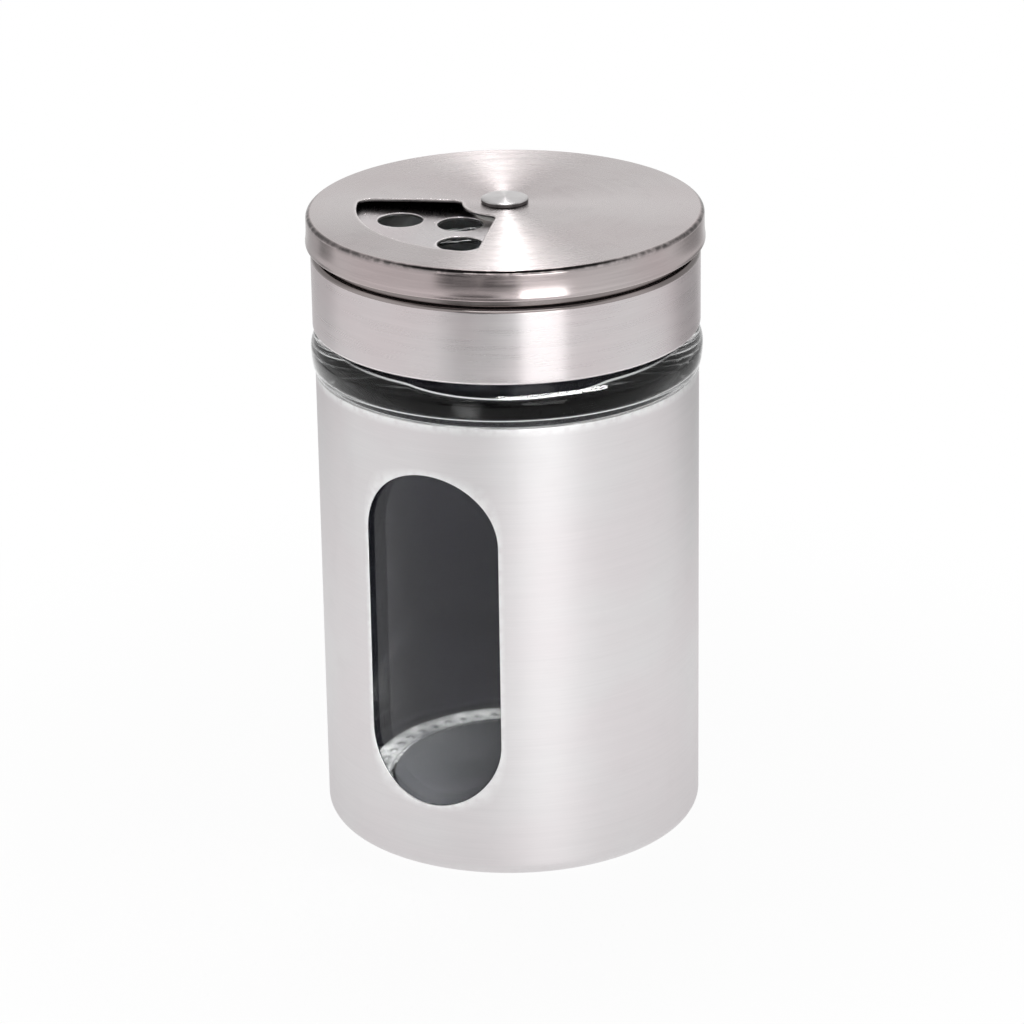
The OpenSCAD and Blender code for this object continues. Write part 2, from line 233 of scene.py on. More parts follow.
@dataclass(frozen=True)
class Cutout:
    """A closed outline that is punched through a sheet.

    Attributes:
        outline: Gives (points, normals away from the hole) for a side parameter from 0 to 4, whose whole
            numbers lie at the outline's corners, in the order of the block of cells.
        rows: Lowest and highest value of the profile's coordinate in the block that is replaced.
        middle: Direction of the block's middle, in degrees.
        half: Half of the angle that the block spans, in degrees.
        edge: Radius to which the punched edge is rounded.
    """

    outline: Outline
    rows: tuple[float, float]
    middle: float
    half: float
    edge: float = 0.12


@dataclass(frozen=True)
class Sheet:
    """The two matching stretches of a profile that bound a sheet, with the plane it is cut in.

    Attributes:
        outer: Rows of the outer skin, in the profile's order.
        inner: Rows of the inner skin that lie under them.
        values: The profile's coordinate on each outer row.
        thickness: Thickness of the sheet.
        flatten: Turns points of the sheet into points of the cutting plane.
        lift: Turns points of the plane and a depth under the outer skin into points of the sheet.
    """

    outer: Array
    inner: Array
    values: Array
    thickness: float
    flatten: Callable[[Array], Array]
    lift: Callable[[Array, float], Array]


@dataclass
class Turned:
    """A profile carried round the Z axis: (r, z) becomes (r cos a, r sin a, z).

    Attributes:
        profile: Points of the profile, with the solid on its left.
        columns: Number of steps round the axis.
        looks: Finish number of each row of cells.
        wear_and_painted_light: Mask of each row of points, or of each point, for marked edges.
        grid: Points of the turned surface, of shape (rows, columns, 3).
        keep: False for each cell that a patch replaces.
    """

    profile: Array
    columns: int
    looks: Array | int = 0
    wear_and_painted_light: Array | float = 0.0
    grid: Array = field(init=False)
    keep: Array = field(init=False)

    def __post_init__(self) -> None:
        """Works out the grid of points."""
        angle = np.radians(self.angles())
        radius, height = self.profile[:, :1], self.profile[:, 1:]
        x, y = radius * np.cos(angle), radius * np.sin(angle)
        self.grid = np.stack([x, y, np.broadcast_to(height, x.shape)], axis=-1)
        self.keep = np.ones((len(self.profile) - 1, self.columns), bool)

    def angles(self) -> Array:
        """Directions of the columns in degrees."""
        return np.arange(self.columns) * 360.0 / self.columns

    def punch(self, shell: Shell, sheet: Sheet, cutout: Cutout) -> None:
        """Leaves out a block of cells on both skins and joins its two rims through the hole.

        The outer rim blends in straight lines towards the outline, dips over a quarter circle, passes the
        sheet, and comes back to the inner rim the same way.

        Args:
            shell: Takes the patch.
            sheet: The two skins.
            cutout: The hole.
        """
        inside = np.flatnonzero((sheet.values > cutout.rows[0]) & (sheet.values < cutout.rows[1]))
        rows = np.arange(inside[0] - 1, inside[-1] + 2)
        offset = (self.angles() - cutout.middle + 180) % 360 - 180
        near = np.flatnonzero(np.abs(offset) < cutout.half)
        near = near[np.argsort(offset[near])]
        columns = np.concatenate([[near[0] - 1], near, [near[-1] + 1]]) % self.columns
        self.keep[np.ix_(sheet.outer[rows[:-1]], columns[:-1])] = False
        self.keep[np.ix_(sheet.inner[rows[1:]], columns[:-1])] = False

        a, b = len(columns) - 1, len(rows) - 1
        row_loop = np.concatenate([np.full(a, rows[0]), rows[:-1], np.full(a, rows[-1]), rows[:0:-1]])
        column_loop = np.concatenate([columns[:-1], np.full(b, columns[-1]), columns[:0:-1],
                                      np.full(b, columns[0])])
        side = np.concatenate([np.arange(n) / n + k for k, n in enumerate((a, b, a, b))])
        edge, away = cutout.outline(side)
        rims = [self.grid[skin[row_loop], column_loop] for skin in (sheet.outer, sheet.inner)]
        lip = edge + away * cutout.edge
        blend = (0.0, 0.4, 0.7, 0.88, 1.0)
        over = np.radians(np.linspace(0, 90, 6)[1:])
        outer_rim, inner_rim = (sheet.flatten(rim) for rim in rims)
        dips = [(edge + away * cutout.edge * (1 - np.sin(f)), cutout.edge * (1 - np.cos(f))) for f in over]
        rings = [sheet.lift(outer_rim + (lip - outer_rim) * t, 0.0) for t in blend]
        rings += [sheet.lift(points, depth) for points, depth in dips]
        rings += [sheet.lift(points, sheet.thickness - depth) for points, depth in dips[::-1]]
        rings += [sheet.lift(inner_rim + (lip - inner_rim) * t, sheet.thickness) for t in blend[::-1]]
        rings[0], rings[-1] = rims
        patch = np.stack(rings)
        half = len(rings) // 2
        # Past the middle of the cut face the hidden finish takes over: a painted shadow line on the sleeve
        # and painted shade on cap and dial. The outer rounding takes the full edge mask, a painted highlight
        # that also stands for rubbing.
        looks = np.where(np.arange(len(rings) - 1) < half - 1, Side.SHOWN.value, Side.HIDDEN.value)
        wear_and_painted_light = np.zeros(len(rings))
        wear_and_painted_light[len(blend) - 1:half] = 1.0
        wear_and_painted_light[len(blend) - 2] = 0.5
        shell.add(patch, looks=looks, wear_and_painted_light=wear_and_painted_light)

    def finish(self, shell: Shell) -> None:
        """Adds what is left of the turned surface to the shell."""
        shell.add(self.grid, self.keep, self.looks, self.wear_and_painted_light)


def circle_outline(centre: tuple[float, float], radius: float, turn: float) -> Outline:
    """Outline of a round hole: centre + radius * (cos a, sin a), where a rises a quarter turn on each side.

    Args:
        centre: Middle of the hole in the cutting plane.
        radius: Radius of the hole.
        turn: Direction of the first side's middle, in degrees.

    Returns:
        The outline as a function of the side parameter.
    """
    def outline(side: Array) -> tuple[Array, Array]:
        """Works out the hole's edge.

        Args:
            side: Side parameters from 0 to 4.

        Returns:
            The points and their normals.
        """
        angle = np.radians(turn - 45 + 90 * side)
        away = np.column_stack([np.cos(angle), np.sin(angle)])
        return np.asarray(centre) + radius * away, away
    return outline


def traced_outline(stretches: Sequence[Array]) -> Outline:
    """Outline that follows four stretches of points, each from the middle of one corner to the next.

    A point lies at an even share of its stretch's length, and its normal is the tangent turned outwards.

    Args:
        stretches: The points of the four sides, counter-clockwise as seen from outside.

    Returns:
        The outline as a function of the side parameter.
    """
    def outline(side: Array) -> tuple[Array, Array]:
        """Follows the stretches by their length.

        Args:
            side: Side parameters from 0 to 4.

        Returns:
            The points and their normals.
        """
        place, tangent = np.zeros((len(side), 2)), np.zeros((len(side), 2))
        for k, points in enumerate(stretches):
            mine = (side >= k) & (side < k + 1)
            run = np.concatenate([[0.0], np.cumsum(np.linalg.norm(np.diff(points, axis=0), axis=1))])
            at = (side[mine] - k) * run[-1]
            step = run[-1] * 1e-3
            for axis in (0, 1):
                place[mine, axis] = np.interp(at, run, points[:, axis])
                ahead = np.interp(at + step, run, points[:, axis])
                behind = np.interp(at - step, run, points[:, axis])
                tangent[mine, axis] = ahead - behind
        tangent /= np.linalg.norm(tangent, axis=1, keepdims=True)
        return place, np.column_stack([tangent[:, 1], -tangent[:, 0]])
    return outline


def slot_outline(width: float, height: float, middle: float) -> Outline:
    """Outline of an upright slot with round ends, in the plane of X and Z.

    Args:
        width: Width of the slot.
        height: Height over its round ends.
        middle: Height of its middle.

    Returns:
        The outline as a function of the side parameter.
    """
    radius, reach = width / 2, (height - width) / 2
    low, high = (0.0, middle - reach), (0.0, middle + reach)
    return traced_outline((
        arc(low, radius, -135, -45, 200),
        joined(arc(low, radius, -45, 0, 100), arc(high, radius, 0, 45, 100)),
        arc(high, radius, 45, 135, 200),
        joined(arc(high, radius, 135, 180, 100), arc(low, radius, 180, 225, 100)),
    ))


def sector_outline(inner: float, outer: float, span: float, corner: float, direction: float) -> Outline:
    """Outline of a ring sector with rounded corners, in the plane of X and Y.

    Args:
        inner: Inner radius.
        outer: Outer radius.
        span: Angle that it spans, in degrees.
        corner: Radius of its corners.
        direction: Direction of its middle, in degrees.

    Returns:
        The outline as a function of the side parameter.
    """
    half = span / 2
    lean_out = np.degrees(np.arcsin(corner / (outer - corner)))
    lean_in = np.degrees(np.arcsin(corner / (inner + corner)))

    def halves(radius: float, angle: float, start: float, end: float) -> tuple[Array, Array]:
        """Works out the two halves of a rounded corner.

        Args:
            radius: Distance of the corner's centre from the axis.
            angle: Direction of the centre from the sector's middle, in degrees.
            start: Angle at which the corner starts.
            end: Angle at which it ends.

        Returns:
            The points of each half.
        """
        centre = radius * np.array([np.cos(np.radians(angle)), np.sin(np.radians(angle))])
        between = (start + end) / 2
        return arc(centre, corner, start, between, 40), arc(centre, corner, between, end, 40)

    out_low = halves(outer - corner, lean_out - half, -half - 90, lean_out - half)
    out_high = halves(outer - corner, half - lean_out, half - lean_out, half + 90)
    in_high = halves(inner + corner, half - lean_in, half + 90, half + 180 - lean_in)
    in_low = halves(inner + corner, lean_in - half, lean_in - half - 180, -half - 90)
    sides = (
        joined(out_low[1], arc((0, 0), outer, lean_out - half, half - lean_out, 300), out_high[0]),
        joined(out_high[1], in_high[0]),
        joined(in_high[1], arc((0, 0), inner, half - lean_in, lean_in - half, 200), in_low[0]),
        joined(in_low[1], out_low[0]),
    )
    turn = np.radians(direction)
    spin = np.array([[np.cos(turn), np.sin(turn)], [-np.sin(turn), np.cos(turn)]])
    return traced_outline([side @ spin for side in sides])


@dataclass(frozen=True)
class SteelSleeve:
    """Drawn steel cup with a stood-up bottom, a rolled rim and the punched viewing window.

    Attributes:
        radius: Outer radius.
        wall: Thickness of its sheet.
        height: Height of its rim.
        bend: Outer radius of the bend at its foot.
        foot: Width of the ring that it stands on.
        recess: Height of the bottom panel.
        roll: Radius of the rolled rim.
        window: Width, height and middle height of the window.
        block: How far the patch round the window reaches past it, in height and in degrees.
        punched: Radius to which the window's edge is rounded.
        columns: Steps round the axis.
    """

    radius: float = 24.6
    wall: float = 0.4
    height: float = 61.6
    bend: float = 1.8
    foot: float = 1.8
    recess: float = 0.7
    roll: float = 0.15
    window: tuple[float, float, float] = (18.1, 45.2, 32.05)
    block: tuple[float, float] = (2.2, 5.0)
    punched: float = 0.12
    columns: int = 360

    def build(self, shown: bpy.types.Material, hidden: bpy.types.Material) -> bpy.types.Object:
        """Makes the sleeve.

        Its profile runs out under the raised bottom, round the bend, up the wall, over the rim and back
        down the inside. It is turned round the axis, and the window is punched through both skins.

        Args:
            shown: Finish of the outside.
            hidden: Finish of the inside, under the glass, and of the window's cut face: a near-black painted
                shade.

        Returns:
            The sleeve.
        """
        bend_steps, bend_wear = 16, 0.2
        panel = self.radius - self.bend - self.foot
        bore = self.radius - self.wall
        hub = (self.radius - self.bend, self.bend)
        rim = (self.radius - self.roll, self.height - self.roll)
        wall = line((self.radius, self.bend), (self.radius, rim[1]), 1.0, 0.1)
        under = joined(
            line((0, self.recess), (panel - self.recess, self.recess), 3.0),
            line((panel - self.recess, self.recess), (panel, 0), 0.5, 0.08),
            line((panel, 0), (hub[0], 0), 1.0),
            arc(hub, self.bend, -90, 0, bend_steps),
        )
        over = joined(
            arc(rim, self.roll, 0, 90, 5),
            line((rim[0], self.height), (bore, self.height), 0.2, 0.03),
        )
        inside = joined(
            wall[::-1] - (self.wall, 0),
            arc(hub, self.bend - self.wall, 0, -90, 10),
            line((hub[0], self.wall), (panel, self.wall), 1.0),
            line((panel, self.wall), (panel - self.recess, self.recess + self.wall), 0.5),
            line((panel - self.recess, self.recess + self.wall), (0, self.recess + self.wall), 3.0),
        )
        profile = np.concatenate([under, wall[1:], over[1:], inside])
        first = len(under) - 1
        start = first + len(wall) + len(over) - 1
        looks = np.zeros(len(profile) - 1, int)
        # The inside takes the near-black finish: painted shade.
        looks[start:] = Side.HIDDEN.value
        # The rolled rim takes the full edge mask, a painted highlight line; the bend at the foot is lightened
        # a little along an arch.
        wear_and_painted_light = np.zeros(len(profile))
        wear_and_painted_light[first + len(wall) - 2:start] = 1.0
        arch = np.sin(np.radians(np.linspace(0, 180, bend_steps + 1)))
        wear_and_painted_light[first - bend_steps:first + 1] = bend_wear * arch

        def flatten(points: Array) -> Array:
            """Drops the depth: (x, y, z) becomes (x, z)."""
            return points[:, [0, 2]]

        def lift(points: Array, depth: float) -> Array:
            """Puts (x, z) on the front of the wall: y = -sqrt((R - depth)^2 - x^2)."""
            y = -np.sqrt((self.radius - depth) ** 2 - points[:, 0] ** 2)
            return np.column_stack([points[:, 0], y, points[:, 1]])

        turned = Turned(profile, self.columns, looks, wear_and_painted_light)
        rows = first + np.arange(len(wall))
        sheet = Sheet(rows, start + np.arange(len(wall))[::-1], wall[:, 1], self.wall, flatten, lift)
        width, height, middle = self.window
        reach = height / 2 + self.block[0]
        spread = float(np.degrees(np.arcsin(width / 2 / self.radius))) + self.block[1]
        window = Cutout(slot_outline(width, height, middle), (middle - reach, middle + reach), -90, spread,
                        self.punched)
        shell = Shell("sleeve_body")
        turned.punch(shell, sheet, window)
        turned.finish(shell)
        return shell.build((shown, hidden))


@dataclass(frozen=True)
class GlassJar:
    """Pressed glass jar: knurled contact ring, heel, bead, threaded neck and rounded mouth.

    Attributes:
        foot_z: Height that it stands at.
        radius: Outer radius of its wall.
        wall: Thickness of its wall.
        heel: Outer radius of the heel.
        ring: Width of the ring that it stands on.
        punt: Height of the pushed-up middle.
        floor: Thickness of the floor at its edge and its rise towards the middle.
        inner_heel: Inner radius between floor and wall.
        bead: Lowest, widest and highest level of the bead.
        bead_r: Radius of the bead at its foot and at its widest level.
        neck: Radius of the neck, its fillet and the land outside the fillet.
        bore: Radius of the mouth.
        lip: Height of the lip and the rounding of its edges.
        shoulder: Height of the corner under the bore, its radius, the slope under it in degrees and the
            radius where the slope meets the wall.
        thread: First height, pitch, turns and depth of the thread.
        ridge: Half-widths of the thread at root and crest, and the angle that it fades over.
        knurls: Number of recesses in the contact ring.
        dimple: Place and width of a recess as shares of the ring's width, and its depth.
        scallop: Depth of the ring's wavy outer edge.
        wavy: Where the wavy edge starts and ends across the ring, as shares of its width.
        dark: How dark the frost is in the recesses, where it is painted shade, on the wavy edge and along the
            inner side.
        columns: Steps round the axis, a multiple of the knurls.
    """

    foot_z: float = 1.6
    radius: float = 23.95
    wall: float = 2.0
    heel: float = 4.2
    ring: float = 3.2
    punt: float = 0.8
    floor: tuple[float, float] = (3.8, 0.2)
    inner_heel: float = 3.4
    bead: tuple[float, float, float] = (61.7, 64.562, 67.1)
    bead_r: tuple[float, float] = (24.5, 25.1)
    neck: tuple[float, float, float] = (21.6, 0.8, 0.3)
    bore: float = 19.0
    lip: tuple[float, float] = (79.3, 0.7)
    shoulder: tuple[float, float, float, float] = (64.292, 1.0, 25.0, 0.6)
    thread: tuple[float, float, float, float] = (70.554, 4.233, 1.25, 1.1)
    ridge: tuple[float, float, float] = (1.058, 0.508, 24.0)
    knurls: int = 48
    dimple: tuple[float, float, float] = (0.36, 0.12, 0.55)
    scallop: float = 0.3
    wavy: tuple[float, float] = (0.55, 0.97)
    dark: tuple[float, float, float] = (2.0, 0.6, 0.4)
    columns: int = 336

    def profile(self) -> tuple[Array, slice, slice]:
        """Chains lines and arcs from the axis along the foot, up the outside, over the mouth and down inside.

        Returns:
            The profile, the rows of the contact ring and the rows of the neck.
        """
        contact = self.radius - self.heel
        low, belly, top = self.bead
        foot_r, bead_r = self.bead_r
        neck_r, fillet, land = self.neck
        crown = bead_r - neck_r - fillet - land
        lip_z, round_r = self.lip
        inner_r = self.radius - self.wall
        floor_z = self.foot_z + self.floor[0]
        inner_foot = contact - self.ring
        corner_z, corner_r, slope, hollow_r = self.shoulder
        corner = arc((self.bore + corner_r, corner_z), corner_r, 180, 270 - slope, 14)
        run = inner_r - hollow_r * (1 - np.sin(np.radians(slope))) - corner[-1, 0]
        slope_end = corner[-1] + (run, -run * np.tan(np.radians(slope)))
        hollow_z = slope_end[1] - hollow_r * np.cos(np.radians(slope))
        shoulder = joined(corner, line(corner[-1], slope_end, 0.4, 0.05),
                          arc((inner_r - hollow_r, hollow_z), hollow_r, 90 - slope, 0, 10))
        before = joined(
            line((0, self.foot_z + self.punt), (inner_foot - self.punt, self.foot_z + self.punt), 4.0),
            line((inner_foot - self.punt, self.foot_z + self.punt), (inner_foot, self.foot_z), 0.5),
        )
        ring = line((inner_foot, self.foot_z), (contact, self.foot_z), 0.19, 0.05)
        outside = joined(
            arc((contact, self.foot_z + self.heel), self.heel, -90, 0, 16),
            line((self.radius, self.foot_z + self.heel), (self.radius, low), 4.0),
            line((self.radius, low), (foot_r, low), 0.4, 0.05),
            arc((foot_r, belly), (bead_r - foot_r, belly - low), -90, 0, 14),
            arc((bead_r - crown, belly), (crown, top - belly), 0, 90, 20),
            line((bead_r - crown, top), (neck_r + fillet, top), 0.5, 0.05),
            arc((neck_r + fillet, top + fillet), fillet, 270, 180, 6),
        )
        neck = line((neck_r, top + fillet), (neck_r, lip_z - round_r), 0.155, 0.05)
        inside = joined(
            arc((neck_r - round_r, lip_z - round_r), round_r, 0, 90, 7),
            arc((self.bore + round_r, lip_z - round_r), round_r, 90, 180, 7),
            line((self.bore, lip_z - round_r), (self.bore, corner_z), 2.0, 0.08),
            shoulder,
            line((inner_r, hollow_z), (inner_r, floor_z + self.inner_heel), 4.0),
            arc((inner_r - self.inner_heel, floor_z + self.inner_heel), self.inner_heel, 0, -90, 12),
            line((inner_r - self.inner_heel, floor_z), (0, floor_z + self.floor[1]), 3.0),
        )
        whole = np.concatenate([before, ring[1:], outside[1:], neck[1:], inside[1:]])
        ring_start = len(before) - 1
        neck_start = ring_start + len(ring) + len(outside) - 2
        return whole, slice(ring_start, ring_start + len(ring)), slice(neck_start, neck_start + len(neck))

    def thread_height(self, angle: Array, height: Array) -> Array:
        """Height of the thread: a crest with cubic flanks across the helix, which fades out at both ends.

        Args:
            angle: Directions in degrees, of shape (1, columns).
            height: Heights of the rows, of shape (rows, 1).

        Returns:
            How far each point stands out from the neck.
        """
        start, pitch, turns, depth = self.thread
        root, crest, fade = self.ridge
        sweep = turns * 360
        total = np.zeros(np.broadcast_shapes(angle.shape, height.shape))
        for lap in range(int(np.ceil(turns))):
            along = angle + 360 * lap
            across = np.abs(height - start - pitch * along / 360)
            ends = smooth_step(0.0, fade, np.minimum(along, sweep - along))
            total = np.maximum(total, depth * ends * smooth_step(0.0, root - crest, root - across))
        return total

    def relief(self, angle: Array, across: Array) -> tuple[Array, Array]:
        """Relief of the contact ring, where the knurl k = (1 - cos(knurls * a)) / 2 runs round it.

        A recess is k^4 times a bell curve across the ring, and the wavy edge is 1 - k times a smooth step
        towards the outside, which ends just before the heel.

        Args:
            angle: Directions in degrees, of shape (1, columns).
            across: Place across the ring, from 0 inside to 1 outside, of shape (rows, 1).

        Returns:
            The shapes of the recesses and of the wavy edge, each from 0 to 1.
        """
        place, width, _ = self.dimple
        knurl = 0.5 - 0.5 * np.cos(np.radians(angle * self.knurls))
        dimple = knurl ** 4 * np.exp(-((across - place) / width) ** 2)
        start, end = self.wavy
        scallop = (1 - knurl) * smooth_step(start, 1.0, across) * (1 - smooth_step(end, 1.0, across))
        return dimple, scallop

    def build(self, clear: bpy.types.Material, frosted: bpy.types.Material) -> bpy.types.Object:
        """Makes the jar.

        The turned profile's radius on the neck is multiplied by 1 + thread / r, and the height of the
        contact ring takes the relief.

        Args:
            clear: Finish of the glass.
            frosted: Finish of the knurled contact ring.

        Returns:
            The jar.
        """
        profile, ring, neck = self.profile()
        looks = np.zeros(len(profile) - 1, int)
        looks[ring.start:ring.stop - 1] = Side.HIDDEN.value
        turned = Turned(profile, self.columns, looks, np.zeros((len(profile), self.columns)))
        angle = turned.angles()[None, :]
        stand = self.thread_height(angle, profile[neck, 1:])
        turned.grid[neck, :, :2] *= (1 + stand / self.neck[0])[..., None]
        across = (profile[ring, :1] - profile[ring.start, 0]) / self.ring
        dimple, scallop = self.relief(angle, across)
        raised = self.dimple[2] * dimple + self.scallop * scallop
        fade_in, inner_side = smooth_step(0.0, 0.08, across), 1 - smooth_step(0.3, 0.6, across)
        turned.grid[ring, :, 2] += raised * fade_in
        # The frost is darkened in the recesses as painted shade, and also on the wavy edge and along the
        # inner side.
        in_dimple, on_scallop, inside = self.dark
        dark = in_dimple * dimple + on_scallop * scallop + inside * inner_side
        turned.wear_and_painted_light[ring] = np.clip(dark, 0, 1)
        shell = Shell("jar_glass_body")
        turned.finish(shell)
        return shell.build((clear, frosted))


@dataclass(frozen=True)
class CapShell:
    """Drawn steel cap with a hem, a stepped shoulder and the plate with its three open stations.

    Attributes:
        radius: Outer radius of the skirt.
        sheet: Thickness of the sheet.
        hem: Width of the hem.
        foot: Height of the lower edge.
        shoulder: Height of the shoulder.
        step: Width of the step.
        plate: Height of the plate and the rounding of its edge.
        hub: Radius of the rivet's hole.
        coarse: Direction of the coarse station.
        coarse_r: Radius of its holes, radius and half-angle of the outer pair, radius of the inner hole.
        coarse_block: For the outer pair and the inner hole, how far the patch round a hole reaches past
            it, and half of the angle that the patch spans.
        fine_r: Radius of the fine holes, radius of their outer row, spacing of rows and of holes.
        fine_rows: Number of fine holes in each row, from the outside in.
        fine_block: How far the patch round a fine hole reaches past it.
        mouth: Inner radius, outer radius, span and corner radius of the pouring mouth.
        mouth_block: How far the patch round the mouth reaches past it, in radius and in degrees.
        punched: Radius to which the openings' edges are rounded.
        columns: Steps round the axis.
    """

    radius: float = 24.8
    sheet: float = 0.4
    hem: float = 0.9
    foot: float = 67.3
    shoulder: float = 77.4
    step: float = 0.8
    plate: tuple[float, float] = (81.6, 0.9)
    hub: float = 1.2
    coarse: float = 242.6
    coarse_r: tuple[float, float, float, float] = (2.85, 13.4, 27.7, 7.1)
    coarse_block: tuple[tuple[float, float], tuple[float, float]] = ((0.13, 15.5), (0.12, 28.0))
    fine_r: tuple[float, float, float, float] = (1.1, 15.2, 3.9, 3.9)
    fine_rows: tuple[int, ...] = (5, 4, 3)
    fine_block: float = 0.35
    mouth: tuple[float, float, float, float] = (6.6, 17.2, 68.0, 1.4)
    mouth_block: tuple[float, float] = (1.0, 6.0)
    punched: float = 0.1
    columns: int = 360

    def holes(self) -> list[Cutout]:
        """Lists every opening of the plate with the block of the plate that it replaces.

        Returns:
            The coarse holes, the fine holes and the pouring mouth.
        """
        cuts = []

        def add_round(centre_r: float, direction: float, radius: float, margin: float, half: float) -> None:
            """Adds a round hole.

            Args:
                centre_r: Distance of its centre from the axis.
                direction: Direction of its centre, in degrees.
                radius: Its radius.
                margin: How far its block reaches past it, in radius.
                half: Half of the angle that the block spans.
            """
            turn = np.radians(direction)
            centre = (centre_r * float(np.cos(turn)), centre_r * float(np.sin(turn)))
            rows = (centre_r - radius - margin, centre_r + radius + margin)
            outline = circle_outline(centre, radius, direction)
            cuts.append(Cutout(outline, rows, direction, half, self.punched))

        radius, ring_r, half_angle, inner_r = self.coarse_r
        outer_block, inner_block = self.coarse_block
        for side in (-1, 1):
            add_round(ring_r, self.coarse + side * half_angle, radius, *outer_block)
        add_round(inner_r, self.coarse, radius, *inner_block)
        radius, outer_r, row_gap, pitch = self.fine_r
        for row, count in enumerate(self.fine_rows):
            row_r = outer_r - row * row_gap
            step = 2 * float(np.degrees(np.arcsin(pitch / 2 / row_r)))
            # Neighbouring blocks stay a column and a little more apart.
            half = step / 2 - 360 / self.columns - 0.1
            for k in range(count):
                direction = self.coarse + 90 + step * (k - (count - 1) / 2)
                add_round(row_r, direction, radius, self.fine_block, half)
        inner, outer, span, corner = self.mouth
        direction, (reach, spread) = self.coarse + 180, self.mouth_block
        cuts.append(Cutout(sector_outline(inner, outer, span, corner, direction),
                           (inner - reach, outer + reach), direction, span / 2 + spread, self.punched))
        return cuts

    def build(self, shown: bpy.types.Material, hidden: bpy.types.Material,
              drawn: bpy.types.Material) -> bpy.types.Object:
        """Makes the cap.

        Its profile runs round the hem, up the skirt, over the shoulder and the step to the plate, and back
        at the sheet's thickness inside. It is turned, and each opening is punched through the plate.

        Args:
            shown: Finish of the skirt and the plate.
            hidden: Finish of the inside, darkened as painted shade.
            drawn: Finish of the shoulder and the step above it, darkened as painted shade.

        Returns:
            The cap's shell.
        """
        top, edge = self.plate
        upper_r = self.radius - self.step
        hem = (self.radius - self.sheet, self.foot + self.sheet)
        bend = (upper_r, self.shoulder - self.step)
        rim = (upper_r - edge, top - edge)
        plate = line((rim[0], top), (self.hub, top), 0.3, 0.1)
        outside = joined(
            line((self.radius - self.hem, self.foot), (hem[0], self.foot), 0.3, 0.05),
            arc(hem, self.sheet, -90, 0, 8),
            line((self.radius, hem[1]), (self.radius, bend[1]), 1.0, 0.1),
            arc(bend, self.step, 0, 90, 12),
            line((upper_r, self.shoulder), (upper_r, rim[1]), 0.8, 0.08),
            arc(rim, edge, 0, 90, 14),
        )
        inside = joined(
            plate[::-1] - (0, self.sheet),
            arc(rim, edge - self.sheet, 90, 0, 6),
            line((upper_r - self.sheet, rim[1]), (upper_r - self.sheet, self.shoulder - self.sheet), 0.8),
            arc(bend, self.step - self.sheet, 90, 0, 6),
            line((hem[0], bend[1]), (hem[0], hem[1]), 2.0),
            line((hem[0], hem[1]), (self.radius - self.hem, hem[1]), 0.4, 0.05),
            line((self.radius - self.hem, hem[1]), (self.radius - self.hem, self.foot), 0.2, 0.05),
        )
        profile = np.concatenate([outside, plate[1:], inside])
        first = len(outside) - 1
        start = first + len(plate)
        looks = np.zeros(len(profile) - 1, int)
        looks[start:] = Side.HIDDEN.value
        # The shoulder and the step above it take a darkened finish: painted shade in the gap under the dial.
        drawn_from, hem_rows = bend[1] + 0.1, 12
        looks[:first][profile[:first, 1] > drawn_from] = Side.EDGE.value
        wear_and_painted_light = np.zeros(len(profile))
        wear_and_painted_light[:hem_rows] = 0.8

        def lift(points: Array, depth: float) -> Array:
            """Puts (x, y) at a depth under the top of the plate."""
            return np.column_stack([points, np.full(len(points), top - depth)])

        turned = Turned(profile, self.columns, looks, wear_and_painted_light)
        sheet = Sheet(first + np.arange(len(plate)), start + np.arange(len(plate))[::-1], plate[:, 0],
                      self.sheet, drop_height, lift)
        shell = Shell("cap_body")
        for cut in self.holes():
            turned.punch(shell, sheet, cut)
        turned.finish(shell)
        return shell.build((shown, hidden, drawn))


